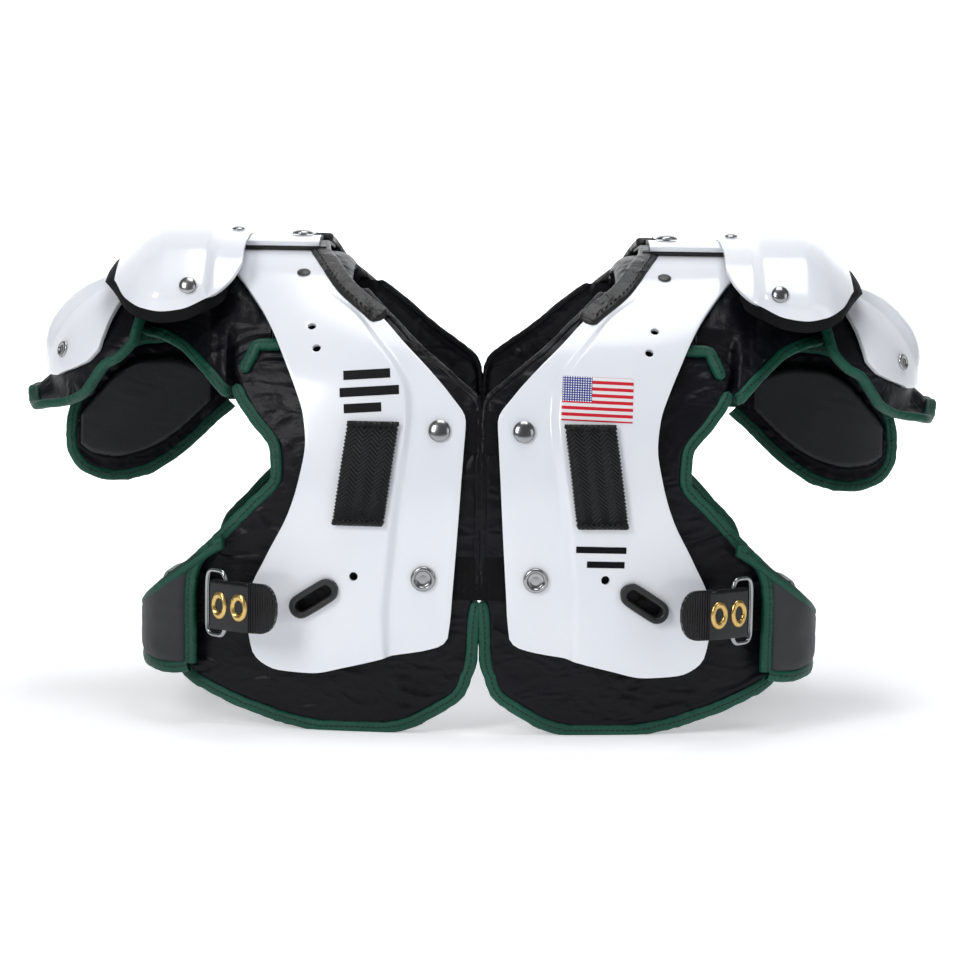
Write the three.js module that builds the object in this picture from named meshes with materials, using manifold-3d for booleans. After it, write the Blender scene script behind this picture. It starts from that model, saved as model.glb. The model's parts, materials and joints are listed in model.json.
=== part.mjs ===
// Shoulder pad for American football, at its real size in millimetres.
// +Z is up, the chest side faces -Y, and X = 0 is the plane between the left and right halves.
// It stands on the lower edges of its four body pads. "left" and "right" are as seen from the front.
import * as THREE from "three";
import { mergeVertices } from "three/addons/utils/BufferGeometryUtils.js";
import Module from "manifold-3d";

const wasm = await Module();
wasm.setup();

const { cos, sin, asin, sqrt, abs, min, max, PI } = Math;
const FRONT = -1;
const BACK = 1;
const RIGHT_ANGLE = PI / 2;

// Driving sizes

// The arch is the surface that the plates lie on and the body pads hang under.
const arch = {
  halfDepth: 150, // from the middle to the chest, and to the back
  planReach: 330, // half width of the ellipse that rounds the chest in plan
  top: 308, // height over the shoulder
  spring: 150, // height where the curve from the shoulder becomes upright
  turn: 0.62, // share of the run from shoulder to floor that is curved
};
const gap = 0.5; // air between layers that touch on the real object
const plate = { wall: 3, span: 160, emboss: 5, step: 7, overlap: 0.085, ramp: 0.17 };
const spacer = { wall: 2.5, overhang: 5 };
const guard = { leaf: 1.8, nose: 6, cover: 9, from: 0.085, to: 0.32 };
const pad = { wall: 16, rim: 4, shoulder: 26, span: 160 };
const liner = { wall: 8, rim: 4, span: 236 };
const binding = { width: 7, height: 6, space: 0.4 };
const cap = { inner: 160, width: 85, halfLength: 108, fall: 62, above: 14.2, wall: 3.5, crown: 6.5 };
const capPad = { wall: 8, reach: 6, notchTo: 199, notchHalf: 52 };
const cup = { under: 14.8, drop: 67.2, inner: 225, outer: 301, bend: 92, halfLength: 75, wall: 3.5, crown: 5 };
const cupPad = { wall: 11, rim: 4, across: 12, below: 13, flare: 12 };
const lobe = { inner: 174, within: 9, height: 100, under: 80.5, rim: 5, plateau: 15, near: 52, bow: 22 };
const wing = { wall: 8, rim: 5, height: 124, reach: 223, bend: 9, backTop: 0.56 };
const webbing = { width: 32, wall: 2 };
const belt = { height: 84, path: [0.148, 0.212, 0.276, 0.32], insets: [6.4, 9.4, 6.3, 5.5] };
const ring = { height: 42, width: 17, wire: 3 };
const tab = { wall: 4, corner: 9 };
const patch = { length: 66, lean: 9, across: 73, height: 169 };
const slot = { length: 26, width: 7.2, lip: 4.4, across: 105, height: 88, rise: 33, stand: 4 };
const strap = { width: 28, wall: 2, reach: 46 };
const rivet = { head: 17, height: 4, shank: 6, bore: 6.8 };
const screw = { head: 15, height: 3.4, shank: 5, bore: 5.8, across: 125 };
const hole = { radius: 2.8 };

// Places that follow from those sizes. The cap and cup keep their distance from the arch's top, the lobe
// hangs under the middle of its curve and ends a named length inside the cup's outermost line.
const capTop = arch.top + cap.above;
const cupTop = arch.top - cup.under;
const cupBottom = cupTop - cup.drop;
const lobeFoot = (arch.top + arch.spring) / 2 - lobe.under;
const lobeSpan = cup.outer - lobe.within - lobe.inner;

// Tables. A row is one section, and lengths are shares of the named size in each heading.

const table = (columns, rows) =>
  rows.map((row) => Object.fromEntries(columns.map((name, i) => [name, row[i]])));

// down: share of the arch's run. The rest: shares of plate.span.
const FRONT_PLATE = table(
  ["down", "inner", "ridge", "outer"],
  [
    [-0.085, 0.7, 0.78, 1.2],
    [-0.042, 0.7, 0.78, 1.21],
    [0.0, 0.7, 0.78, 1.21],
    [0.042, 0.695, 0.775, 1.19],
    [0.085, 0.68, 0.76, 1.155],
    [0.149, 0.635, 0.71, 1.075],
    [0.224, 0.56, 0.635, 0.985],
    [0.3, 0.41, 0.485, 0.895],
    [0.35, 0.32, 0.405, 0.84],
    [0.4, 0.215, 0.32, 0.79],
    [0.445, 0.125, 0.275, 0.745],
    [0.485, 0.064, 0.27, 0.712],
    [0.53, 0.064, 0.28, 0.7],
    [0.58, 0.066, 0.3, 0.72],
    [0.64, 0.07, 0.32, 0.765],
    [0.71, 0.075, 0.335, 0.855],
    [0.775, 0.08, 0.35, 0.942],
    [0.82, 0.092, 0.357, 0.96],
    [0.85, 0.17, 0.362, 0.95],
    [0.872, 0.38, 0.45, 0.93],
    [0.893, 0.52, 0.56, 0.895],
    [0.912, 0.67, 0.7, 0.83],
  ],
);
const BACK_PLATE = table(
  ["down", "inner", "ridge", "outer"],
  [
    [-0.085, 0.7, 0.78, 1.2],
    [-0.042, 0.7, 0.78, 1.21],
    [0.0, 0.7, 0.78, 1.21],
    [0.042, 0.695, 0.775, 1.19],
    [0.085, 0.68, 0.76, 1.155],
    [0.128, 0.65, 0.725, 1.1],
    [0.17, 0.61, 0.685, 1.05],
    [0.215, 0.55, 0.625, 0.995],
    [0.26, 0.48, 0.555, 0.94],
    [0.3, 0.41, 0.485, 0.895],
    [0.35, 0.32, 0.405, 0.84],
    [0.41, 0.195, 0.305, 0.78],
    [0.46, 0.1, 0.27, 0.73],
    [0.52, 0.064, 0.28, 0.7],
    [0.6, 0.067, 0.3, 0.73],
    [0.7, 0.073, 0.335, 0.84],
    [0.79, 0.085, 0.352, 0.952],
    [0.85, 0.17, 0.362, 0.95],
    [0.885, 0.46, 0.51, 0.91],
    [0.912, 0.67, 0.7, 0.83],
  ],
);
// down: share of the arch's run. inner, backInner, outer: shares of pad.span.
const BODY_PAD = table(
  ["down", "inner", "backInner", "outer"],
  [
    [0.205, 0.5, 0.475, 0.83],
    [0.225, 0.478, 0.44, 0.83],
    [0.285, 0.385, 0.335, 0.835],
    [0.337, 0.29, 0.235, 0.84],
    [0.366, 0.225, 0.165, 0.965],
    [0.385, 0.18, 0.115, 0.978],
    [0.42, 0.09, 0.032, 0.95],
    [0.454, 0.012, 0.012, 0.925],
    [0.49, 0.012, 0.012, 0.89],
    [0.535, 0.012, 0.012, 0.82],
    [0.583, 0.012, 0.012, 0.812],
    [0.625, 0.012, 0.012, 0.9],
    [0.68, 0.012, 0.012, 1.03],
    [0.745, 0.012, 0.012, 1.16],
    [0.81, 0.06, 0.06, 1.18],
    [0.87, 0.06, 0.06, 1.21],
    [0.915, 0.07, 0.07, 1.2],
    [0.955, 0.15, 0.15, 0.95],
    [0.98, 0.34, 0.34, 0.73],
  ],
);
// across: share of liner.span. crest, fall: shares of the arch's top and of its curved height.
// reach: share of the arch's half depth. end: degrees round the section to the liner's edge.
const LINER = table(
  ["across", "crest", "reach", "fall", "end"],
  [
    [0.373, 0.985, 1.0, 0.77, 29.2],
    [0.435, 1.0, 1.0, 1.0, 29.2],
    [0.578, 1.0, 1.0, 1.0, 29.2],
    [0.592, 1.0, 1.0, 1.0, 47],
    [0.66, 1.0, 1.0, 1.0, 47.5],
    [0.72, 1.0, 1.0, 1.0, 48],
    [0.75, 1.0, 1.0, 1.0, 60],
    [0.785, 0.995, 0.93, 1.04, 57],
    [0.835, 0.98, 0.83, 1.08, 50],
    [0.885, 0.95, 0.79, 1.03, 41],
    [0.93, 0.913, 0.75, 0.93, 31],
    [0.965, 0.872, 0.71, 0.75, 20],
  ],
);
// across: share of cap.width. rise: share of cap.crown. end: degrees round to the cap's rim.
const CAP = table(
  ["across", "rise", "end"],
  [
    [0.0, 0.0, 36],
    [0.1, 0.0, 54],
    [0.2, 0.05, 67],
    [0.28, 0.9, 75],
    [0.44, 1.0, 82],
    [0.6, 1.0, 85],
    [0.76, 0.35, 81],
    [0.89, -0.95, 71],
    [1.0, -2.3, 50],
  ],
);
// round: degrees down the crest from its top. half: share of cup.halfLength.
const CUP = table(
  ["round", "half", "rise"],
  [
    [0, 0.4, 0],
    [12, 0.6, 0],
    [26, 0.82, 0.7],
    [42, 0.95, 1],
    [58, 1.0, 1],
    [74, 0.98, 0.6],
    [86, 0.88, 0],
    [94, 0.66, 0],
  ],
);
// across: share of the lobe's run outwards. foot, top: shares of lobe.height above its foot.
const LOBE = table(
  ["across", "foot", "top"],
  [
    [0.05, 0.54, 0.66],
    [0.12, 0.47, 0.76],
    [0.24, 0.34, 0.87],
    [0.4, 0.19, 0.92],
    [0.56, 0.09, 0.91],
    [0.68, 0.06, 0.8],
    [0.82, 0.09, 0.48],
    [0.9, 0.17, 0.44],
    [0.95, 0.26, 0.4],
  ],
);
// Plan of the side wing from its front edge to the side. along: share of that run.
// out: share of wing.reach. forward: share of the arch's half depth.
const WING_PLAN = table(
  ["along", "out", "forward"],
  [
    [0.0, 0.673, 0.967],
    [0.07, 0.731, 0.947],
    [0.137, 0.786, 0.923],
    [0.208, 0.844, 0.898],
    [0.276, 0.899, 0.871],
    [0.353, 0.946, 0.807],
    [0.45, 0.978, 0.693],
    [0.588, 0.993, 0.52],
    [0.788, 1.0, 0.267],
    [1.0, 1.0, 0.0],
  ],
);
// Its top and foot, in shares of wing.height, as it goes from its front edge to the side.
const WING = table(
  ["gone", "top", "foot"],
  [
    [0.0, 0.985, 0.335],
    [0.07, 0.93, 0.33],
    [0.16, 0.83, 0.335],
    [0.3, 0.7, 0.345],
    [0.48, 0.6, 0.35],
    [0.72, 0.54, 0.355],
    [1.0, 0.52, 0.355],
  ],
);
const WING_FRONT = { top: 0.09, foot: 0.215, backTop: 0.18 };
// Plan of the belt's tab from the ring to its tip, in shares of the same two sizes.
const TAB = table(
  ["out", "forward"],
  [
    [0.731, 1.035],
    [0.697, 1.08],
    [0.662, 1.118],
    [0.622, 1.143],
  ],
);

// Geometry helpers

const vec = (x, y, z) => new THREE.Vector3(x, y, z);
const mix = (a, b, t) => a + (b - a) * t;
const smooth = (t) => {
  const c = min(1, max(0, t));
  return c * c * (3 - 2 * c);
};
const radians = (degrees) => (degrees * PI) / 180;
const midpoint = (a, b) => a.clone().add(b).multiplyScalar(0.5);

function readTable(rows, key, column, value) {
  const last = rows.length - 1;
  const found = rows.findIndex((row) => row[key] >= value);
  const i = found < 0 ? last : max(1, found);
  const share = (value - rows[i - 1][key]) / (rows[i][key] - rows[i - 1][key]);
  return mix(rows[i - 1][column], rows[i][column], min(1, max(0, share)));
}

function volumeOf(positions, triangles) {
  let sum = 0;
  for (let i = 0; i < triangles.length; i += 3) {
    const [a, b, c] = [0, 1, 2].map((k) => positions[triangles[i + k]]);
    sum += a.dot(b.clone().cross(c));
  }
  return sum;
}

// A closed geometry from points and triangles, with its faces turned outwards.
function closedGeometry(points, triangles) {
  const outwards = volumeOf(points, triangles) > 0 ? triangles : [...triangles].reverse();
  const geometry = new THREE.BufferGeometry();
  const flat = points.flatMap((p) => [p.x, p.y, p.z]);
  geometry.setAttribute("position", new THREE.Float32BufferAttribute(flat, 3));
  geometry.setIndex(outwards);
  return geometry;
}

function mirrored(geometry) {
  const copy = geometry.clone();
  copy.scale(-1, 1, 1);
  copy.setIndex([...copy.index.array].reverse());
  return copy;
}

function solidOf(geometry) {
  const bare = new THREE.BufferGeometry();
  bare.setAttribute("position", geometry.getAttribute("position"));
  bare.setIndex(geometry.index);
  const merged = mergeVertices(bare, 1e-4);
  const mesh = new wasm.Mesh({
    numProp: 3,
    vertProperties: new Float32Array(merged.attributes.position.array),
    triVerts: new Uint32Array(merged.index.array),
  });
  return new wasm.Manifold(mesh);
}

function geometryOf(solid) {
  const mesh = solid.getMesh();
  const geometry = new THREE.BufferGeometry();
  geometry.setAttribute("position", new THREE.Float32BufferAttribute(mesh.vertProperties, 3));
  geometry.setIndex([...mesh.triVerts]);
  return geometry;
}

function carved(geometry, cutters) {
  const cut = cutters.reduce((solid, cutter) => solid.subtract(solidOf(cutter)), solidOf(geometry));
  return geometryOf(cut);
}

function joined(geometries) {
  const solids = geometries.map(solidOf);
  return geometryOf(solids.reduce((whole, solid) => whole.add(solid)));
}

// A wall between two skins of rows by columns points. skins(i, j) gives [outer, inner].
class Sheet {
  constructor(rows, columns, skins) {
    this.rows = rows;
    this.columns = columns;
    this.outer = [];
    this.inner = [];
    for (let i = 0; i < rows; i += 1) {
      for (let j = 0; j < columns; j += 1) {
        const [outer, inner] = skins(i, j);
        this.outer.push(outer);
        this.inner.push(inner);
      }
    }
  }

  at(i, j) {
    return i * this.columns + j;
  }

  edge() {
    const { rows, columns } = this;
    const steps = (n) => [...Array(n - 1).keys()];
    return [
      ...steps(columns).map((j) => [0, j]),
      ...steps(rows).map((i) => [i, columns - 1]),
      ...steps(columns).map((j) => [rows - 1, columns - 1 - j]),
      ...steps(rows).map((i) => [rows - 1 - i, 0]),
    ];
  }

  geometry() {
    const points = [...this.outer, ...this.inner];
    const below = this.outer.length;
    const triangles = [];
    for (let i = 0; i < this.rows - 1; i += 1) {
      for (let j = 0; j < this.columns - 1; j += 1) {
        const [a, b, c, d] = [this.at(i, j), this.at(i, j + 1), this.at(i + 1, j + 1), this.at(i + 1, j)];
        triangles.push(a, b, c, a, c, d);
        triangles.push(a + below, c + below, b + below, a + below, d + below, c + below);
      }
    }
    const loop = this.edge().map(([i, j]) => this.at(i, j));
    loop.forEach((a, k) => {
      const b = loop[(k + 1) % loop.length];
      triangles.push(a, a + below, b, b, a + below, b + below);
    });
    return closedGeometry(points, triangles);
  }

  // Where the rim is at a grid point, and which ways are outwards and through the wall.
  rimFrame([i, j]) {
    const inwards = this.at(
      min(max(i, 1), this.rows - 2),
      min(max(j, 1), this.columns - 2),
    );
    const here = this.at(i, j);
    const at = midpoint(this.outer[here], this.inner[here]);
    const through = this.outer[here].clone().sub(this.inner[here]).normalize();
    const away = at.clone().sub(midpoint(this.outer[inwards], this.inner[inwards]));
    return { at, through, away };
  }
}

// A strip of binding along a sheet's rim: a four-sided band that follows the given grid points.
function bindingAlong(sheet, path, closed = false) {
  const frames = path.map((point) => sheet.rimFrame(point));
  const last = frames.length - 1;
  const sections = frames.map(({ at, through, away }, k) => {
    const before = frames[closed ? (k + last) % frames.length : max(0, k - 1)].at;
    const after = frames[closed ? (k + 1) % frames.length : min(last, k + 1)].at;
    const along = after.clone().sub(before).normalize();
    const out = along.clone().cross(through).normalize();
    if (out.dot(away) < 0) out.negate();
    const up = through.clone().multiplyScalar(binding.height / 2);
    const near = at.clone().addScaledVector(out, binding.space);
    const far = at.clone().addScaledVector(out, binding.space + binding.width);
    const corners = [
      near.clone().add(up),
      far.clone().add(up),
      far.clone().sub(up),
      near.clone().sub(up),
    ];
    corners.forEach((corner) => corner.setZ(max(0, corner.z)));
    return corners;
  });
  return tube(sections, closed);
}

// A closed body through sections that all have the same number of corners.
function tube(sections, closed = false) {
  const corners = sections[0].length;
  const points = sections.flat();
  const triangles = [];
  const spans = closed ? sections.length : sections.length - 1;
  for (let k = 0; k < spans; k += 1) {
    const here = k * corners;
    const next = ((k + 1) % sections.length) * corners;
    for (let c = 0; c < corners; c += 1) {
      const d = (c + 1) % corners;
      triangles.push(here + c, here + d, next + d, here + c, next + d, next + c);
    }
  }
  if (!closed) {
    const end = (sections.length - 1) * corners;
    for (let c = 1; c < corners - 1; c += 1) {
      triangles.push(0, c + 1, c, end, end + c, end + c + 1);
    }
  }
  return closedGeometry(points, triangles);
}

// The arch

const halfDepthAt = (x) => arch.halfDepth * sqrt(1 - (x / arch.planReach) ** 2);

function archSurface(x, down, side) {
  const angle = (min(down, arch.turn) / arch.turn) * RIGHT_ANGLE;
  const rest = max(0, down - arch.turn) / (1 - arch.turn);
  const y = side * halfDepthAt(x) * sin(angle);
  const curved = arch.spring + (arch.top - arch.spring) * cos(angle);
  return vec(x, y, down > arch.turn ? arch.spring * (1 - rest) : curved);
}

function archNormal(x, down, side) {
  const step = 1e-3;
  const here = archSurface(x, down, side);
  const across = archSurface(x + step, down, side).sub(here);
  const onward = archSurface(x, down + step, side).sub(here);
  return across.cross(onward).multiplyScalar(side).normalize();
}

function onArch(x, down, side, lift) {
  return archSurface(x, down, side).addScaledVector(archNormal(x, down, side), lift);
}

// down for a height on the upright or curved part of the arch.
function downAtHeight(z) {
  if (z < arch.spring) return arch.turn + (1 - arch.turn) * (1 - z / arch.spring);
  const share = (z - arch.spring) / (arch.top - arch.spring);
  return (arch.turn * Math.acos(share)) / RIGHT_ANGLE;
}

// Plates

const FLANGE_COLUMNS = 2;
const RAISED_SHARES = [0, 0.3, 0.62, 1];

// Raised by the emboss beyond the ridge, and lying flat near the shoulder.
const embossAt = (down) => plate.emboss * smooth((abs(down) - 0.12) / 0.16);
const stackLift = spacer.wall + plate.wall + 2 * gap;
const backLift = (down) => stackLift * (1 - smooth((down - plate.overlap) / (plate.ramp - plate.overlap)));

function plateSheet(rows, side, underside) {
  const columns = FLANGE_COLUMNS + RAISED_SHARES.length;
  return new Sheet(rows.length, columns, (i, j) => {
    const { down, inner, ridge, outer } = rows[i];
    const [from, foot, to] = [inner, ridge, outer].map((share) => share * plate.span);
    const crest = foot + plate.step;
    const flange = j < FLANGE_COLUMNS;
    const x = flange
      ? mix(from, foot, j / (FLANGE_COLUMNS - 1))
      : mix(crest, to, RAISED_SHARES[j - FLANGE_COLUMNS]);
    const lift = gap + underside(down) + (flange ? 0 : embossAt(down));
    return [onArch(x, down, side, lift + plate.wall), onArch(x, down, side, lift)];
  });
}

const plateRidge = (down) => readTable(FRONT_PLATE, "down", "ridge", down) * plate.span;

// Lift of a plate's outer face at a point beyond or inside the ridge.
function plateFace(x, down) {
  const raised = x > plateRidge(down) + plate.step;
  return gap + plate.wall + (raised ? embossAt(down) : 0);
}

// A place on the front of the arch with its three directions: z outwards, x across, y up.
function placeOn(x, height, side, lift) {
  const down = downAtHeight(height);
  const outwards = archNormal(x, down, side);
  const across = vec(1, 0, 0).addScaledVector(outwards, -outwards.x).normalize();
  const up = outwards.clone().cross(across);
  const frame = new THREE.Matrix4().makeBasis(across, up, outwards);
  return frame.setPosition(onArch(x, down, side, lift));
}

function roundBar(radius, length, sides = 8) {
  return new THREE.CylinderGeometry(radius, radius, length, sides).rotateX(RIGHT_ANGLE);
}

const SLOT_ARC = 4;

function stadium(length, width) {
  const straight = (length - width) / 2;
  const outline = new THREE.Shape();
  outline.absarc(straight, 0, width / 2, -RIGHT_ANGLE, RIGHT_ANGLE);
  outline.absarc(-straight, 0, width / 2, RIGHT_ANGLE, 3 * RIGHT_ANGLE);
  return outline;
}

function stadiumBar(length, width, depth, slotSize) {
  const outline = stadium(length, width);
  if (slotSize) {
    const points = stadium(slotSize.length, slotSize.width).getPoints(SLOT_ARC);
    outline.holes.push(new THREE.Path(points.reverse()));
  }
  const settings = { depth, bevelEnabled: false, curveSegments: SLOT_ARC };
  return mergeVertices(bareGeometry(new THREE.ExtrudeGeometry(outline, settings)), 1e-4);
}

function bareGeometry(geometry) {
  geometry.deleteAttribute("normal");
  geometry.deleteAttribute("uv");
  return geometry;
}

const chestRivets = [
  { name: "upper", across: 27, height: 196 },
  { name: "lower", across: 36, height: 102 },
];
const lacingHoles = [
  { across: 111, height: 256 },
  { across: 107, height: 243 },
  { across: 80, height: 103 },
];
const slotTilt = -slot.rise;
const grommet = {
  length: slot.length + 2 * slot.lip + 4,
  width: slot.width + 2 * slot.lip,
  neck: 1.8,
};

const slotFrame = (side, lift) => {
  const frame = placeOn(slot.across, slot.height, side, lift);
  return frame.multiply(new THREE.Matrix4().makeRotationZ(radians(slotTilt)));
};

function rivetBores(side) {
  return chestRivets.map(({ across, height }) =>
    roundBar(rivet.bore / 2, 40).applyMatrix4(placeOn(across, height, side, 0)),
  );
}

function archScrewBore() {
  return roundBar(screw.bore / 2, 60).translate(screw.across, 0, arch.top);
}

function frontPlate() {
  const slotHole = stadiumBar(grommet.length - 2 * grommet.neck, grommet.width - 2 * grommet.neck, 40);
  slotHole.translate(0, 0, -20).applyMatrix4(slotFrame(FRONT, 0));
  const small = lacingHoles.map(({ across, height }) =>
    roundBar(hole.radius, 40, 6).applyMatrix4(placeOn(across, height, FRONT, 0)),
  );
  const sheet = plateSheet(FRONT_PLATE, FRONT, () => 0);
  return carved(sheet.geometry(), [slotHole, ...small, ...rivetBores(FRONT), archScrewBore()]);
}

function backPlate() {
  const sheet = plateSheet(BACK_PLATE, BACK, backLift);
  return carved(sheet.geometry(), [...rivetBores(BACK), archScrewBore()]);
}

function slotGrommet() {
  const down = downAtHeight(slot.height);
  const face = plateFace(slot.across, down);
  const clear = 0.3;
  const opening = { length: slot.length, width: slot.width };
  const lip = stadiumBar(grommet.length, grommet.width, slot.stand, opening);
  const inset = 2 * (grommet.neck + clear);
  const neck = stadiumBar(grommet.length - inset, grommet.width - inset, plate.wall + gap + 1, opening);
  neck.translate(0, 0, -plate.wall - gap);
  lip.translate(0, 0, gap);
  return joined([lip, neck]).applyMatrix4(slotFrame(FRONT, face));
}

// Black vinyl between the plates over the shoulder, running on as a guard round the neck edge.
const GUARDED = { [FRONT]: FRONT_PLATE, [BACK]: BACK_PLATE };

function neckGuard() {
  const base = gap + plate.wall + gap;
  const rows = BACK_PLATE.filter(({ down }) => abs(down) <= guard.from);
  const spacerSheet = new Sheet(rows.length, 3, (i, j) => {
    const { down, inner, outer } = rows[i];
    const x = mix(inner * plate.span - spacer.overhang, (outer - 0.02) * plate.span, j / 2);
    return [onArch(x, down, BACK, base + spacer.wall), onArch(x, down, BACK, base)];
  });
  const leaves = [FRONT, BACK].map((side) => guardStrip(side));
  return carved(joined([spacerSheet.geometry(), ...leaves]), [archScrewBore()]);
}

// A strip that caps a plate's neck edge: a nose beyond the edge and a leaf on the outer face.
function guardStrip(side) {
  const rows = GUARDED[side].filter(({ down }) => down > 0.02 && down < guard.to);
  const sections = rows.map(({ down, inner }, k) => {
    const edge = inner * plate.span - gap;
    const raised = side === BACK ? backLift(down) : 0;
    const under = max(0.4, raised - 1);
    const over = raised + gap + plate.wall + gap;
    const cover = guard.cover * (k < 2 ? (side === BACK ? 0.6 : 0.1) : 1);
    const point = (across, lift) => onArch(across, down, side, lift);
    return [
      point(edge + cover, over + guard.leaf),
      point(edge - guard.nose * 0.5, over + guard.leaf),
      point(edge - guard.nose, (over + under) / 2),
      point(edge - guard.nose * 0.5, under),
      point(edge, under),
      point(edge, over),
      point(edge + cover, over),
    ];
  });
  return tubeOfTriangles(sections, [
    [0, 1, 5],
    [0, 5, 6],
    [1, 2, 5],
    [2, 3, 4],
    [2, 4, 5],
  ]);
}

// A tube whose ends are not convex, so that each end is closed by the listed triangles.
function tubeOfTriangles(sections, cover) {
  const corners = sections[0].length;
  const triangles = [];
  for (let k = 0; k < sections.length - 1; k += 1) {
    for (let c = 0; c < corners; c += 1) {
      const [a, b] = [k * corners + c, k * corners + ((c + 1) % corners)];
      triangles.push(a, b, b + corners, a, b + corners, a + corners);
    }
  }
  const end = (sections.length - 1) * corners;
  cover.forEach(([a, b, c]) => triangles.push(a, c, b, end + a, end + b, end + c));
  return closedGeometry(sections.flat(), triangles);
}

// Body pads, front and back

const PAD_SHARES = [0, 0.07, 0.34, 0.66, 0.93, 1];

function bodyPadSheet(side) {
  const first = BODY_PAD[0].down;
  const last = BODY_PAD.at(-1).down;
  const run = arch.spring / (1 - arch.turn);
  return new Sheet(BODY_PAD.length, PAD_SHARES.length, (i, j) => {
    const { down, inner, backInner, outer } = BODY_PAD[i];
    const [from, to] = [(side === BACK ? backInner : inner) * pad.span, outer * pad.span];
    const share = PAD_SHARES[j];
    const x = mix(from, to, share);
    const toEdge = min(share, 1 - share) * (to - from);
    const toEnd = min(down - first, last - down) * run;
    const near = min(1, min(toEdge, toEnd) / pad.shoulder);
    const wall = pad.rim + (pad.wall - pad.rim) * sqrt(near * (2 - near));
    return [onArch(x, down, side, -gap), onArch(x, down, side, -gap - wall)];
  });
}

const SHELF_ROW = 4;
const INNER_BOUND_ROW = 14;

// From the shelf beside the plate, round the arm hole and the foot, to the middle of the chest.
function bodyPadEdge(sheet) {
  const count = sheet.rows - 1;
  const edge = sheet.edge();
  const from = sheet.columns - 1 + SHELF_ROW;
  const to = 2 * (sheet.columns - 1) + count + (count - INNER_BOUND_ROW);
  return edge.slice(from, to + 1);
}

function strapCutter(height, side) {
  const clear = gap - 0.1;
  return strapSheet(height, side, clear).geometry();
}

function bodyPad(side) {
  const cutters = chestRivets.map(({ height }) => strapCutter(height, side));
  return carved(bodyPadSheet(side).geometry(), cutters);
}

function bodyPadBinding(side) {
  const sheet = bodyPadSheet(side);
  return bindingAlong(sheet, bodyPadEdge(sheet));
}

// Straps that join the left and right halves behind the plates

function strapSheet(height, side, grown = 0) {
  const columns = 5;
  const half = strap.width / 2 + grown;
  return new Sheet(2, columns, (i, j) => {
    const x = mix(-strap.reach - grown, strap.reach + grown, j / (columns - 1));
    const down = downAtHeight(height + (i === 0 ? half : -half));
    const outer = grown > 0 ? gap : -0.3;
    return [onArch(x, down, side, outer), onArch(x, down, side, -strap.wall - grown - 0.3)];
  });
}

function chestStrap(height, side) {
  const bores = rivetBores(side);
  return carved(strapSheet(height, side).geometry(), [...bores, ...bores.map(mirrored)]);
}

// Shoulder liner

const LINER_COLUMNS = 9;

function linerSurface(row, angle, depth) {
  const x = row.across * liner.span;
  const reach = row.reach * halfDepthAt(x) - depth;
  const fall = row.fall * (arch.top - arch.spring) - depth;
  const crest = row.crest * arch.top - depth;
  return vec(x, -reach * sin(angle), crest - fall * (1 - cos(angle)));
}

function linerSheet() {
  return new Sheet(LINER.length, LINER_COLUMNS, (i, j) => {
    const row = LINER[i];
    const along = mix(-1, 1, j / (LINER_COLUMNS - 1));
    const angle = radians(row.end) * along;
    const atEdge = i === LINER.length - 1 || abs(along) === 1;
    const wall = atEdge ? liner.rim : liner.wall;
    return [linerSurface(row, angle, gap), linerSurface(row, angle, gap + wall)];
  });
}

const LINER_BOUND_ROW = 5;

function linerBinding() {
  const sheet = linerSheet();
  const last = sheet.rows - 1;
  const rows = [...Array(last - LINER_BOUND_ROW).keys()].map((k) => LINER_BOUND_ROW + k);
  const path = [
    ...rows.map((i) => [i, sheet.columns - 1]),
    ...[...Array(sheet.columns).keys()].map((j) => [last, sheet.columns - 1 - j]),
    ...rows.reverse().map((i) => [i, 0]),
  ];
  return bindingAlong(sheet, path);
}

// Cap over the shoulder and the foam under it

const CAP_COLUMNS = 11;

function capSurface(across, rise, angle, lift) {
  const grow = rise * cap.crown + lift;
  const x = cap.inner + across * cap.width;
  const y = -(cap.halfLength + grow) * sin(angle);
  return vec(x, y, capTop - cap.fall + (cap.fall + grow) * cos(angle));
}

function capShell() {
  const sheet = new Sheet(CAP.length, CAP_COLUMNS, (i, j) => {
    const { across, rise, end } = CAP[i];
    const angle = radians(end) * mix(-1, 1, j / (CAP_COLUMNS - 1));
    return [capSurface(across, rise, angle, 0), capSurface(across, rise, angle, -cap.wall)];
  });
  return carved(sheet.geometry(), [capRivetBore()]);
}

// The foam follows every second line of the cap and goes on a little beyond its rim.
function capFoam() {
  const beyond = capPad.reach / cap.width;
  const end = CAP.at(-1);
  const slope = (end.rise - CAP.at(-2).rise) / (end.across - CAP.at(-2).across);
  const lip = { across: 1 + beyond, rise: end.rise + slope * beyond * 0.7, end: end.end - 14 };
  const rows = [...CAP.slice(1), lip];
  const tipped = (capPad.reach / cap.fall) * 50;
  const columns = (CAP_COLUMNS + 1) / 2;
  const sheet = new Sheet(rows.length, columns, (i, j) => {
    const row = rows[i];
    const share = mix(-1, 1, j / (columns - 1));
    const angle = radians(row.end * share + (abs(share) === 1 ? tipped * share : 0));
    const space = gap * (row.across > 0.8 ? 2 : 1);
    const face = (depth) => capSurface(row.across, row.rise, angle, -cap.wall - space - depth);
    return [face(0), face(capPad.wall)];
  });
  const length = capPad.notchTo - cap.inner + 20;
  const notch = new THREE.BoxGeometry(length, 2 * capPad.notchHalf, 80);
  notch.translate(capPad.notchTo - length / 2, 0, capTop);
  return carved(sheet.geometry(), [bareGeometry(notch), capRivetBore()]);
}

const capRivetAt = { across: 0.39, rise: 1, angle: -68 };

// A frame on a surface given by two points of its normal and a way across.
function frameAlong(from, outwardsPoint, across) {
  const outwards = outwardsPoint.clone().sub(from).normalize();
  const x = across.clone().addScaledVector(outwards, -outwards.dot(across)).normalize();
  const frame = new THREE.Matrix4().makeBasis(x, outwards.clone().cross(x), outwards);
  return frame.setPosition(from);
}

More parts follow.
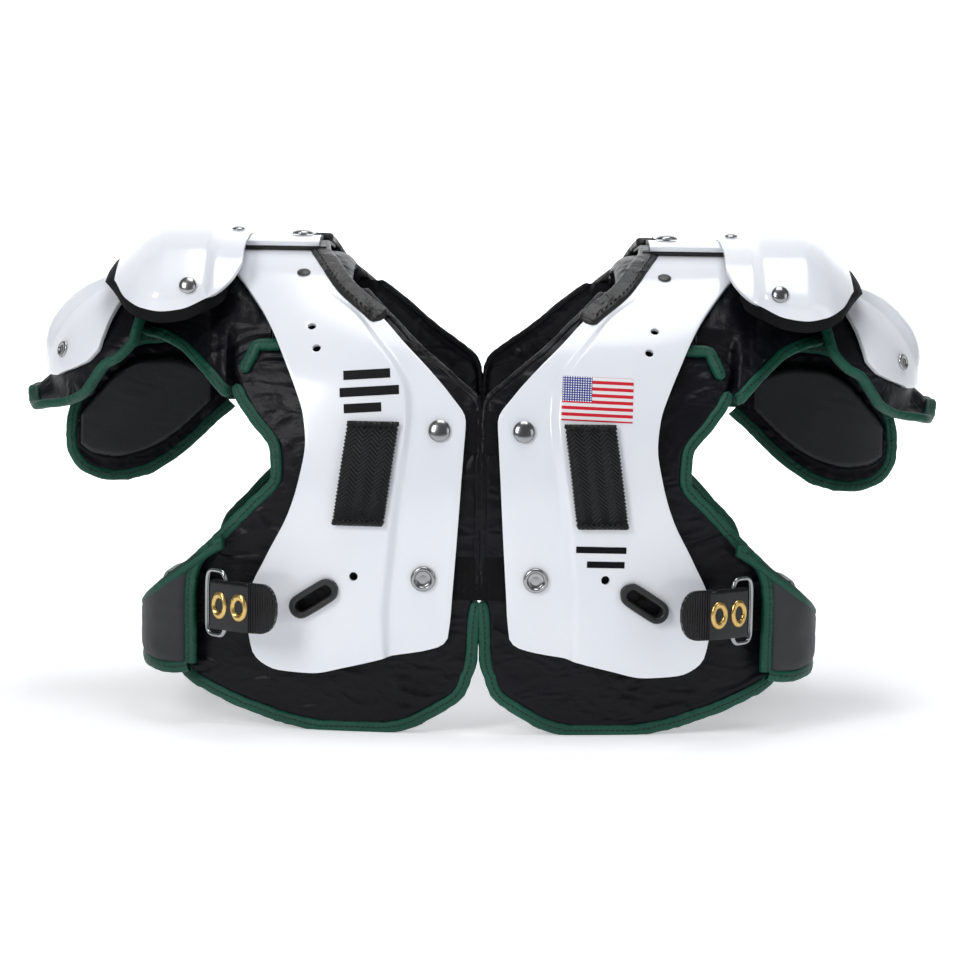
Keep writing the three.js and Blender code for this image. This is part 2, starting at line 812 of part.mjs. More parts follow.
function capRivetFrame() {
  const { across, rise, angle } = capRivetAt;
  const at = (lift) => capSurface(across, rise, radians(-angle), lift);
  return frameAlong(at(0), at(1), vec(1, 0, 0));
}

const capRivetBore = () => roundBar(rivet.bore / 2, 40, 8).applyMatrix4(capRivetFrame());

// Cup over the upper arm and its pad

const CUP_COLUMNS = [-1, -0.78, -0.55, -0.36, 0, 0.36, 0.55, 0.78, 1];

function cupPoint(round, y, lift, beyond = 0, below = 0) {
  const angle = radians(round);
  const normal = vec(sin(angle), 0, cos(angle));
  const width = cup.outer - cup.inner;
  const crest = vec(cup.inner + width * sin(angle), 0, cupBottom + (cupTop - cupBottom) * cos(angle));
  const bend = asin(y / cup.bend);
  const along = crest.clone().addScaledVector(normal, -cup.bend * (1 - cos(bend)));
  const outwards = normal.clone().multiplyScalar(cos(bend)).add(vec(0, sin(bend), 0));
  const tangent = normal.clone().multiplyScalar(-sin(bend)).add(vec(0, cos(bend), 0));
  along.y = y;
  along.addScaledVector(tangent, beyond);
  along.z -= below;
  return along.addScaledVector(outwards, lift);
}

const cupRise = (row, share) => cup.crown * row.rise * (abs(share) < 0.5 ? 1 : 0);

function cupShell() {
  const sheet = new Sheet(CUP.length, CUP_COLUMNS.length, (i, j) => {
    const row = CUP[i];
    const y = row.half * cup.halfLength * CUP_COLUMNS[j];
    const rise = cupRise(row, CUP_COLUMNS[j]);
    return [cupPoint(row.round, y, rise), cupPoint(row.round, y, rise - cup.wall)];
  });
  return carved(sheet.geometry(), [cupRivetBore()]);
}

const CUP_PAD_COLUMNS = [-1, -0.78, -0.36, 0, 0.36, 0.78, 1];

function cupPadSheet() {
  const rows = [...CUP, { ...CUP.at(-1), half: 0.58, further: true }];
  return new Sheet(rows.length, CUP_PAD_COLUMNS.length, (i, j) => {
    const row = rows[i];
    const share = CUP_PAD_COLUMNS[j];
    const y = row.half * cup.halfLength * share;
    const atSide = abs(share) === 1;
    const beyond = atSide ? cupPad.across * share * (i === 0 ? 0.3 : 1) : 0;
    const below = row.further ? cupPad.below : 0;
    const atEdge = i === 0 || row.further || atSide;
    const wall = atEdge ? cupPad.rim : cupPad.wall;
    const outer = -cup.wall - 2 * gap;
    const flare = row.further ? cupPad.flare : 0;
    const shifted = (lift) => cupPoint(row.round, y, lift, beyond, below).add(vec(flare, 0, 0));
    return [shifted(outer), shifted(outer - wall)];
  });
}

function cupPadBody() {
  return carved(cupPadSheet().geometry(), [cupRivetBore()]);
}

function cupPadBinding() {
  const sheet = cupPadSheet();
  const last = sheet.rows - 1;
  const down = [...Array(last).keys()].filter((i) => i > 0);
  const path = [
    ...down.map((i) => [i, sheet.columns - 1]),
    ...[...Array(sheet.columns).keys()].map((j) => [last, sheet.columns - 1 - j]),
    ...down.reverse().map((i) => [i, 0]),
  ];
  return bindingAlong(sheet, path);
}

const cupRivetAt = { round: 74, share: -0.7 };

function cupRivetFrame() {
  const y = cupRivetAt.share * cup.halfLength;
  const at = (lift) => cupPoint(cupRivetAt.round, y, lift);
  return frameAlong(at(0), at(1), vec(0, 1, 0));
}

const cupRivetBore = () => roundBar(rivet.bore / 2, 40, 8).applyMatrix4(cupRivetFrame());

// Lobe behind the upper arm: a bound flap with a raised cushion

const LOBE_COLUMNS = [0, 0.12, 0.22, 0.42, 0.62, 0.8, 0.9, 1];
const LOBE_PLATEAU = [0, 0, 1, 1, 1, 1, 0, 0];

function lobeSheet() {
  const last = LOBE.length - 1;
  return new Sheet(LOBE.length, LOBE_COLUMNS.length, (i, j) => {
    const { across, foot, top } = LOBE[i];
    const height = mix(foot, top, LOBE_COLUMNS[j]) * lobe.height;
    const raised = i > 0 && i < last ? LOBE_PLATEAU[j] : 0;
    const wall = mix(lobe.rim, lobe.plateau, raised);
    const y = lobe.near - lobe.bow * across ** 1.5 + 0.1 * height;
    const x = lobe.inner + across * lobeSpan;
    const z = lobeFoot + height;
    return [vec(x, y - wall, z), vec(x, y, z)];
  });
}

function lobeBinding() {
  const sheet = lobeSheet();
  return bindingAlong(sheet, sheet.edge(), true);
}

// Side wing and the belt under it

const WING_SHARES = [0, 0.12, 0.5, 0.88, 1];

// A point of the wing's plan and its way inwards, for a share of the run from front to back.
function planPoint(share, inset) {
  const side = share > 1 ? BACK : FRONT;
  const at = (along) => {
    const column = (name) => readTable(WING_PLAN, "along", name, along);
    return vec(column("out") * wing.reach, side * column("forward") * arch.halfDepth, 0);
  };
  const along = side === BACK ? 2 - share : share;
  const step = 0.02;
  const way = at(along + step).sub(at(along - step)).multiplyScalar(-side).normalize();
  const inwards = vec(-way.y, way.x, 0);
  return at(along).addScaledVector(inwards, inset);
}

function wingSheet() {
  const lowered = (row) => ({ ...row, gone: 2 - row.gone, top: min(row.top, wing.backTop) });
  const stations = [...WING, ...WING.slice(0, -1).reverse().map(lowered)];
  const last = stations.length - 1;
  return new Sheet(stations.length, WING_SHARES.length, (i, j) => {
    const { gone, top, foot } = stations[i];
    const share = WING_SHARES[j];
    const tip = gone > 1 ? WING_FRONT.backTop : WING_FRONT.top;
    const start = mix(WING_FRONT.foot, tip, share ** wing.bend);
    const along = gone < 1 ? mix(start, 1, gone) : 2 - mix(start, 1, 2 - gone);
    const z = mix(foot, top, share) * wing.height;
    const atEdge = i === 0 || i === last || share === 0 || share === 1;
    const half = (atEdge ? wing.rim : wing.wall) / 2;
    return [planPoint(along, -half).setZ(z), planPoint(along, half).setZ(z)];
  });
}

function wingBinding() {
  const sheet = wingSheet();
  return bindingAlong(sheet, sheet.edge(), true);
}

function bandThrough(centres, wall, heights) {
  const count = centres.length;
  return new Sheet(count, 2, (i, j) => {
    const before = centres[max(0, i - 1)];
    const after = centres[min(count - 1, i + 1)];
    const along = after.clone().sub(before).normalize();
    const out = vec(along.y, -along.x, 0).multiplyScalar(wall / 2);
    const z = heights(i)[j];
    return [centres[i].clone().add(out).setZ(z), centres[i].clone().sub(out).setZ(z)];
  });
}

const beltHeights = () => [belt.height - webbing.width / 2, belt.height + webbing.width / 2];

function beltWebbing() {
  const inside = belt.path.map((share, k) => planPoint(share, belt.insets[k]));
  const { position, along } = ringFrame();
  const bar = position.addScaledVector(along, -ring.width / 2);
  const start = bar.add(vec(0, (ring.wire + webbing.wall) / 2 - gap, 0));
  return bandThrough([start, ...inside], webbing.wall, beltHeights).geometry();
}

function ringFrame() {
  const [first, second] = TAB;
  const at = (row) => vec(row.out * wing.reach, -row.forward * arch.halfDepth, 0);
  const along = at(second).sub(at(first)).normalize();
  const position = at(first).addScaledVector(along, -ring.width / 2);
  return { position, along };
}

function beltRing() {
  const { position, along } = ringFrame();
  const path = new THREE.CurvePath();
  const half = { a: ring.width / 2, b: ring.height / 2 };
  const round = half.a * 0.6;
  const corners = [
    [1, -1],
    [1, 1],
    [-1, 1],
    [-1, -1],
  ];
  const spot = (a, b) => position.clone().addScaledVector(along, a).add(vec(0, 0, belt.height + b));
  corners.forEach(([p, q], k) => {
    const [r, s] = corners[(k + 3) % 4];
    const [t, u] = corners[(k + 1) % 4];
    const corner = spot(p * half.a, q * half.b);
    const before = spot(p * half.a + round * Math.sign(r - p), q * half.b + round * Math.sign(s - q));
    const after = spot(p * half.a + round * Math.sign(t - p), q * half.b + round * Math.sign(u - q));
    path.add(new THREE.QuadraticBezierCurve3(before, corner, after));
    const [v, w] = corners[(k + 1) % 4];
    const next = spot(v * half.a + round * Math.sign(p - v), w * half.b + round * Math.sign(q - w));
    path.add(new THREE.LineCurve3(after, next));
  });
  const steps = 16;
  const sides = 5;
  const flatNormal = vec(0, 0, 1).cross(along).normalize();
  const points = [...Array(steps).keys()].map((k) => path.getPointAt(k / steps));
  const sections = points.map((point, k) => {
    const ahead = points[(k + 1) % steps].clone().sub(points[(k + steps - 1) % steps]).normalize();
    const sideways = ahead.cross(flatNormal).normalize();
    return [...Array(sides).keys()].map((c) => {
      const turn = (c / sides) * 2 * PI;
      return point
        .clone()
        .addScaledVector(flatNormal, (ring.wire / 2) * cos(turn))
        .addScaledVector(sideways, (ring.wire / 2) * sin(turn));
    });
  });
  return tube(sections, true);
}

function beltTab() {
  const centres = TAB.map((row) => vec(row.out * wing.reach, -row.forward * arch.halfDepth, 0));
  const { position, along } = ringFrame();
  const start = position.clone().addScaledVector(along, ring.width / 2 + ring.wire / 2 + gap);
  const shifted = [start, ...centres.slice(1)];
  const tip = shifted.at(-1).clone().add(shifted.at(-1).clone().sub(shifted.at(-2)).setLength(tab.corner));
  const half = webbing.width / 2;
  const low = belt.height - half;
  const high = belt.height + half;
  const last = shifted.length;
  const heights = (i) => (i === last ? [low + tab.corner, high - tab.corner] : [low, high]);
  return bandThrough([...shifted, tip], tab.wall, heights).geometry();
}

// Webbing sewn to the front plate

function webbingPatch() {
  const rows = 4;
  const columns = 3;
  const sheet = new Sheet(rows, columns, (i, j) => {
    const share = i / (rows - 1) - 0.5;
    const height = patch.height - share * patch.length;
    const x = patch.across + patch.lean * share + (j / (columns - 1) - 0.5) * webbing.width;
    const down = downAtHeight(height);
    const face = gap + plate.wall + embossAt(down) + gap;
    return [onArch(x, down, FRONT, face + webbing.wall), onArch(x, down, FRONT, face)];
  });
  return sheet.geometry();
}

// Fasteners

const RIVET_SIDES = 8;

// A domed head that sits gap above z = 0, with a shank below it.
function headedPin(size, shankLength) {
  const lift = gap - 0.1;
  const profile = [
    [0, lift + size.height],
    [size.head * 0.32, lift + size.height * 0.78],
    [size.head / 2, lift + size.height * 0.2],
    [size.head / 2, lift],
    [size.shank / 2, lift],
    [size.shank / 2, -shankLength],
    [0, -shankLength],
  ].map(([r, z]) => new THREE.Vector2(r, z));
  const turned = new THREE.LatheGeometry(profile.reverse(), RIVET_SIDES).rotateX(RIGHT_ANGLE);
  return mergeVertices(bareGeometry(turned), 1e-4);
}

function chestRivet({ across, height }) {
  const face = gap + plate.wall;
  const through = plate.wall + gap + strap.wall;
  return headedPin(rivet, through).applyMatrix4(placeOn(across, height, FRONT, face));
}

function capRivet() {
  return headedPin(rivet, cap.wall + gap + capPad.wall - 1).applyMatrix4(capRivetFrame());
}

function cupRivet() {
  return headedPin({ ...rivet, head: 14 }, cup.wall + gap + cupPad.wall - 2).applyMatrix4(cupRivetFrame());
}

function archScrew() {
  const face = gap + plate.wall + stackLift;
  const pin = headedPin(screw, face - 0.5);
  return pin.translate(screw.across, 0, arch.top + face);
}

// Assembly

const COLOURS = {
  shell: [0xe9ebf2, 0.28, 0],
  cloth: [0x17181b, 0.62, 0],
  foam: [0x101113, 0.8, 0],
  binding: [0x1d5c45, 0.6, 0],
  leather: [0x2a2927, 0.45, 0],
  webbing: [0x111214, 0.85, 0],
  rubber: [0x3c3c3b, 0.6, 0],
  steel: [0xb9bbbd, 0.25, 1],
};

function finish(kind) {
  const [color, roughness, metalness] = COLOURS[kind];
  return new THREE.MeshStandardMaterial({ name: kind, color, roughness, metalness });
}

const shoulderPad = new THREE.Group();

function add(name, geometry, kind) {
  geometry.computeVertexNormals();
  const mesh = new THREE.Mesh(geometry, finish(kind));
  mesh.name = name;
  shoulderPad.add(mesh);
}

// One piece for each side: made for the right half and mirrored for the left.
const PAIRS = [
  ["front_plate", frontPlate(), "shell"],
  ["back_plate", backPlate(), "shell"],
  ["neck_guard", neckGuard(), "leather"],
  ["shoulder_cap", capShell(), "shell"],
  ["cap_foam", capFoam(), "foam"],
  ["arm_cup", cupShell(), "shell"],
  ["cup_pad", cupPadBody(), "cloth"],
  ["cup_pad_binding", cupPadBinding(), "binding"],
  ["shoulder_liner", linerSheet().geometry(), "cloth"],
  ["liner_binding", linerBinding(), "binding"],
  ["arm_lobe", lobeSheet().geometry(), "cloth"],
  ["lobe_binding", lobeBinding(), "binding"],
  ["front_pad", bodyPad(FRONT), "cloth"],
  ["front_pad_binding", bodyPadBinding(FRONT), "binding"],
  ["back_pad", bodyPad(BACK), "cloth"],
  ["back_pad_binding", bodyPadBinding(BACK), "binding"],
  ["side_wing", wingSheet().geometry(), "cloth"],
  ["wing_binding", wingBinding(), "binding"],
  ["belt_webbing", beltWebbing(), "webbing"],
  ["belt_ring", beltRing(), "steel"],
  ["belt_tab", beltTab(), "webbing"],
  ["webbing_patch", webbingPatch(), "webbing"],
  ["slot_grommet", slotGrommet(), "rubber"],
  ["cap_rivet", capRivet(), "steel"],
  ["cup_rivet", cupRivet(), "steel"],
  ["arch_screw", archScrew(), "steel"],
  ...chestRivets.map((spot) => [`chest_rivet_${spot.name}`, chestRivet(spot), "steel"]),
];

PAIRS.forEach(([name, geometry, kind]) => {
  add(`${name}_right`, geometry, kind);
  add(`${name}_left`, mirrored(geometry), kind);
});
chestRivets.forEach(({ name, height }) => {
  add(`chest_strap_${name}`, chestStrap(height, FRONT), "webbing");
  add(`back_strap_${name}`, chestStrap(height, BACK), "webbing");
});

// The origin is the middle of the whole footprint, on the floor.
const bounds = new THREE.Box3().setFromObject(shoulderPad);
const middle = bounds.getCenter(vec(0, 0, 0));
shoulderPad.position.set(0, -middle.y, -bounds.min.z);

export default shoulderPad;
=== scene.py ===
"""Football shoulder pad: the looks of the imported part, in its own frame, in metres.

The chest side faces -Y and Z is up. Each sub-assembly is a class that builds its pieces for the right half,
mirrors them for the left half and gives them their finish. Surfaces follow the same arch as the CAD part.
"""

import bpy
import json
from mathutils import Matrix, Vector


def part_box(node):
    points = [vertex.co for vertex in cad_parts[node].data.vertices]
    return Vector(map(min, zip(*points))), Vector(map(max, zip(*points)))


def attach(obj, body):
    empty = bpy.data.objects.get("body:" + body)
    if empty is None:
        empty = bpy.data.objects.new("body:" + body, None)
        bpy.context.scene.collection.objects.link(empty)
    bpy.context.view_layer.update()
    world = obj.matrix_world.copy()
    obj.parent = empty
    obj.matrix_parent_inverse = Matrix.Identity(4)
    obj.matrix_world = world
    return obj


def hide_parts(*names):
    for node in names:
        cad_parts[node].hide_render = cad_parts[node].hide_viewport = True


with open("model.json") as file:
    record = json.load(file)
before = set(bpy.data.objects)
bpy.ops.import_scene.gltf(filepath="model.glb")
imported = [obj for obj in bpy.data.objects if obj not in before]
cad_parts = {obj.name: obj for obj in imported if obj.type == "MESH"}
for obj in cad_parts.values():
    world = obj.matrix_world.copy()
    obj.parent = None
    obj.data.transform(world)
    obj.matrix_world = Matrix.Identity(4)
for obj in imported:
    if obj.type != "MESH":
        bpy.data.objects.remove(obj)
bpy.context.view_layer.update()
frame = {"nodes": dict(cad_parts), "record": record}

import json
import logging
import math
from dataclasses import dataclass
from enum import Enum
from typing import Callable, Sequence

import bpy
import numpy as np
from mathutils import Matrix, Vector, noise

logging.basicConfig(level=logging.INFO, format="%(message)s")
log = logging.getLogger("shoulder_pad")

Array = np.ndarray
Place = Callable[[Array, Array], Array]
Piece = bpy.types.Object
Socket = bpy.types.NodeSocket
Colour = tuple[float, float, float]
Row = tuple[float, ...]

ACROSS, ALONG, UP = np.eye(3)
"""The three ways of the frame."""


class Side(Enum):
    """The chest side and the back side of the arch."""

    FRONT = -1
    BACK = 1


class Half(Enum):
    """The two halves, as seen from the front."""

    RIGHT = "right"
    LEFT = "left"


# Small maths


def smooth(t: Array) -> Array:
    """Eases from 0 to 1. Args: t: any values. Returns: eased values from 0 to 1."""
    c = np.clip(t, 0, 1)
    return c * c * (3 - 2 * c)


def rounded(t: Array) -> Array:
    """Rises from 0 to 1 as a quarter circle. Args: t: any values. Returns: 0 to 1."""
    c = np.clip(t, 0, 1)
    return np.sqrt(c * (2 - c))


def to_ends(t: Array) -> Array:
    """How far a share is from its nearer end. Args: t: shares. Returns: 0 to 0.5."""
    return np.minimum(t, 1 - t)


def mix(a: Array, b: Array, t: Array) -> Array:
    """Blends two values. Args: a, b: ends. t: share of b. Returns: the blend."""
    return a + (b - a) * t


def stack(x: Array, y: Array, z: Array) -> Array:
    """Points from three coordinates. Args: x, y, z: arrays or numbers. Returns: an array of N by 3."""
    return np.stack(np.broadcast_arrays(x, y, z), axis=-1).astype(float)


def unit(v: Array) -> Array:
    """Makes vectors one long. Args: v: N by 3. Returns: N by 3."""
    return v / np.maximum(np.linalg.norm(v, axis=-1, keepdims=True), 1e-12)


def curve(keys: Sequence[float], values: Sequence[float], at: Array) -> Array:
    """A smooth line through table values that doesn't overshoot them.

    Args:
        keys: rising positions.
        values: the value at each.
        at: where to read it.

    Returns:
        The values at those places.
    """
    k, w = np.asarray(keys, float), np.asarray(values, float)
    h, slope = np.diff(k), np.diff(w) / np.diff(k)
    tangent = np.zeros(len(k))
    same = slope[:-1] * slope[1:] > 0
    a, b = 2 * h[1:] + h[:-1], h[1:] + 2 * h[:-1]
    safe = np.where(same, slope[:-1] * slope[1:], 1)
    tangent[1:-1] = np.where(same, (a + b) * safe / (a * slope[1:] + b * slope[:-1] + 1e-30 * ~same), 0)
    tangent[0], tangent[-1] = slope[0], slope[-1]
    at = np.clip(at, k[0], k[-1])
    i = np.clip(np.searchsorted(k, at, side="right") - 1, 0, len(k) - 2)
    t = (at - k[i]) / h[i]
    return (
        (2 * t**3 - 3 * t**2 + 1) * w[i]
        + (t**3 - 2 * t**2 + t) * h[i] * tangent[i]
        + (3 * t**2 - 2 * t**3) * w[i + 1]
        + (t**3 - t**2) * h[i] * tangent[i + 1]
    )


def softened(keys: Sequence[float], values: Sequence[float], at: Array, width: float) -> Array:
    """A table's line with its corners rounded. Args: keys, values, at: as in curve. width: of the rounding.
    Returns: the values."""
    steps = np.linspace(-1.8, 1.8, 9)
    weights = np.exp(-steps**2)
    return sum(w * curve(keys, values, at + s * width) for s, w in zip(steps, weights)) / weights.sum()


def ripples(points: Array, size: float, seed: float) -> Array:
    """Smooth random heights. Args: points: N by 3. size: of a ripple. seed: which. Returns: about -1 to 1."""
    return np.array([noise.noise(Vector(p) / size + Vector((seed, 2 * seed, 3.7 * seed))) for p in points])


# Mesh tools

WITHIN = Vector((0.06, 0.0, 0.10))  # a point inside the right half, which shells face away from


def only(piece: Piece) -> None:
    """Selects one piece and makes it active. Args: piece: the piece."""
    bpy.ops.object.select_all(action="DESELECT")
    piece.select_set(True)
    bpy.context.view_layer.objects.active = piece


def coordinates(piece: Piece) -> Array:
    """A mesh's vertices. Args: piece: the piece. Returns: N by 3."""
    co = np.empty(3 * len(piece.data.vertices))
    piece.data.vertices.foreach_get("co", co)
    return co.reshape(-1, 3)


def move_to(piece: Piece, co: Array) -> None:
    """Sets a mesh's vertices. Args: piece: the piece. co: N by 3."""
    piece.data.vertices.foreach_set("co", np.ascontiguousarray(co, float).ravel())
    piece.data.update()


def skin(name: str, cells: tuple[int, int], place: Place, around: bool = False) -> Piece:
    """A grid primitive whose points are laid on a surface, with its texture map in metres.

    Args:
        name: the piece's name.
        cells: how many along u and v.
        place: gives points for u and v from 0 to 1.
        around: whether u goes round a section, and its map then runs from 0 to 1.

    Returns:
        The piece, one face thick.
    """
    bpy.ops.object.select_all(action="DESELECT")
    bpy.ops.mesh.primitive_grid_add(x_subdivisions=cells[0], y_subdivisions=cells[1], size=2)
    piece = bpy.context.object
    piece.name = piece.data.name = name
    co = coordinates(piece)
    u, v = (co[:, 0] + 1) / 2, (co[:, 1] + 1) / 2
    move_to(piece, place(u, v))
    t, half = np.linspace(0, 1, 60), np.full(60, 0.5)
    runs = [np.linalg.norm(np.diff(place(*uv), axis=0), axis=1).sum() for uv in ((t, half), (half, t))]
    if around:
        runs[0] = 1.0
    layer = piece.data.uv_layers.active.data
    uv = np.empty(2 * len(layer))
    layer.foreach_get("uv", uv)
    layer.foreach_set("uv", (uv.reshape(-1, 2) * runs).ravel())
    return piece


def edit(piece: Piece, *steps: Callable[[], object]) -> None:
    """Runs edit-mode operators on the whole of a piece. Args: piece: the piece. steps: calls."""
    only(piece)
    bpy.ops.object.mode_set(mode="EDIT")
    bpy.ops.mesh.select_all(action="SELECT")
    for step in steps:
        step()
    bpy.ops.object.mode_set(mode="OBJECT")


def face_outwards() -> None:
    """Turns the selected faces outwards."""
    bpy.ops.mesh.normals_make_consistent(inside=False)


def weld() -> None:
    """Joins the points that meet."""
    bpy.ops.mesh.remove_doubles(threshold=2e-5)


def join(name: str, parts: Sequence[Piece]) -> Piece:
    """Joins several meshes into one piece. Args: name: its name. parts: meshes. Returns: the piece."""
    bpy.ops.object.select_all(action="DESELECT")
    for part in parts:
        part.select_set(True)
    bpy.context.view_layer.objects.active = parts[0]
    if len(parts) > 1:
        bpy.ops.object.join()
    parts[0].name = parts[0].data.name = name
    return parts[0]


def apply(piece: Piece, kind: str, **settings: object) -> None:
    """Adds a modifier and applies it. Args: piece: the piece. kind: its type. settings: values."""
    only(piece)
    modifier = piece.modifiers.new(kind.title(), kind)
    for key, value in settings.items():
        setattr(modifier, key, value)
    bpy.ops.object.modifier_apply(modifier=modifier.name)


def smoothed(piece: Piece, degrees: float = 38) -> Piece:
    """Shades a piece smooth but for sharp edges. Args: piece: it. degrees: limit. Returns: the piece."""
    only(piece)
    bpy.ops.object.shade_smooth_by_angle(angle=math.radians(degrees))
    return piece


def walled(name: str, cells: tuple[int, int], place: Place, wall: float,
           cutters: Sequence[Piece] = ()) -> Piece:
    """A moulded shell: a skin given a wall below it, bored, with small rounded edges.

    Args:
        name: the piece's name.
        cells: how many along u and v.
        place: the outer face.
        wall: how thick.
        cutters: bodies to bore out, which are used up.

    Returns:
        The closed piece.
    """
    piece = skin(name, cells, place)
    edit(piece, face_outwards)
    mesh = piece.data
    faces_out = sum((p.center - WITHIN).dot(p.normal) * p.area for p in mesh.polygons)
    if faces_out < 0:
        edit(piece, bpy.ops.mesh.flip_normals)
    apply(piece, "SOLIDIFY", thickness=wall, offset=-1, use_even_offset=True, use_quality_normals=True)
    edit(piece, face_outwards)
    for cutter in cutters:
        apply(piece, "BOOLEAN", object=cutter, operation="DIFFERENCE", solver="EXACT")
        bpy.data.objects.remove(cutter)
    apply(piece, "BEVEL", width=0.2 * wall, segments=2, limit_method="ANGLE", angle_limit=math.radians(50))
    return smoothed(piece, 50)


def pillow(name: str, cells: tuple[int, int], outer: Place, inner: Place) -> Piece:
    """A closed soft body between two skins that meet at the rim.

    Args:
        name: the piece's name.
        cells: how many along u and v.
        outer: the face that is seen.
        inner: the face below it.

    Returns:
        The closed piece.
    """
    piece = join(name, [skin(name, cells, outer), skin(name, cells, inner)])
    edit(piece, weld, face_outwards)
    return smoothed(piece, 80)


def tube(name: str, path: Array, out: Array, up: Array, size: tuple[float, float], closed: bool = False,
         square: float = 0.75, sides: int = 14) -> Piece:
    """An oval band along a path, such as binding, wire or piping.

    Args:
        name: the piece's name.
        path: N by 3 points at its middle.
        out: N by 3 directions of its width.
        up: N by 3 directions of its height.
        size: width and height.
        closed: whether its ends meet.
        square: 1 for an oval, less for a squarer section.
        sides: how many round the section.

    Returns:
        The closed piece.
    """
    count = len(path)
    share = np.linspace(0, 1, count)

    def place(u: Array, v: Array) -> Array:
        """Args: u, v: shares. Returns: the points there."""
        turn = 2 * math.pi * u
        c, s = np.cos(turn), np.sin(turn)
        c, s = np.sign(c) * np.abs(c) ** square, np.sign(s) * np.abs(s) ** square
        line = lambda rows: np.stack([np.interp(v, share, rows[:, k]) for k in range(3)], axis=-1)
        ends = 1.0 if closed else np.sqrt(np.clip(to_ends(v) * (count - 1) / 1.5, 0, 1))
        a, b = (size[0] / 2 * ends * c)[:, None], (size[1] / 2 * ends * s)[:, None]
        return line(path) + unit(line(out)) * a + unit(line(up)) * b

    piece = skin(name, (sides, count - 1), place, True)
    edit(piece, weld, face_outwards)
    return smoothed(piece, 70)


def resampled(points: Array, step: float, closed: bool = False) -> Array:
    """Even points along a line. Args: points: N by 3. step: wanted distance. closed: a loop.
    Returns: M by 3."""
    line = np.vstack([points, points[:1]]) if closed else points
    run = np.concatenate([[0], np.cumsum(np.linalg.norm(np.diff(line, axis=0), axis=1))])
    keep = np.concatenate([[True], np.diff(run) > 1e-7])
    count = max(4, int(run[-1] / step))
    at = np.linspace(0, run[-1], count + 1)
    return np.stack([np.interp(at, run[keep], line[keep, k]) for k in range(3)], axis=-1)


def turned(name: str, profile: Sequence[tuple[float, float]], sides: int = 32) -> Piece:
    """A body of revolution about Z. Args: name: its name. profile: radius and height, ends at radius 0.
    sides: how many. Returns: the closed piece."""
    rows = np.array(profile, float)
    share = np.linspace(0, 1, len(rows))

    def place(u: Array, v: Array) -> Array:
        """Args: u, v: shares. Returns: the points there."""
        r, z = np.interp(v, share, rows[:, 0]), np.interp(v, share, rows[:, 1])
        return stack(r * np.cos(2 * math.pi * u), r * np.sin(2 * math.pi * u), z)

    piece = skin(name, (sides, len(rows) - 1), place)
    edit(piece, weld, face_outwards)
    return smoothed(piece, 45)


def cylinder(radius: float, length: float, at: Matrix, sides: int = 32) -> Piece:
    """A bar along the Z of a place, for boring. Args: radius, length: size. at: the place. sides: how many.
    Returns: the bar."""
    bpy.ops.object.select_all(action="DESELECT")
    bpy.ops.mesh.primitive_cylinder_add(vertices=sides, radius=radius, depth=length)
    bar = bpy.context.object
    bar.data.transform(at)
    return bar


def placed(piece: Piece, at: Matrix) -> Piece:
    """Moves a mesh's own points to a place. Args: piece: it. at: the place. Returns: the piece."""
    piece.data.transform(at)
    piece.data.update()
    return piece


def mirrored(piece: Piece, name: str) -> Piece:
    """The left twin of a right piece. Args: piece: the right one. name: the twin's. Returns: the twin."""
    only(piece)
    bpy.ops.object.duplicate()
    twin = bpy.context.object
    twin.name = twin.data.name = name
    twin.data.transform(Matrix.Diagonal((-1, 1, 1, 1)))
    twin.data.flip_normals()
    edit(twin, face_outwards)
    return smoothed(twin, 45)


# The frame that the CAD part shares


def packed_shift() -> Array:
    """Returns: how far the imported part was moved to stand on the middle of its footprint."""
    front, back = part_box("front_pad_right"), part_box("back_pad_right")
    return np.array([0.0, (front[0].y + back[1].y) / 2, front[0].z - 0.007895])


SHIFT = packed_shift()


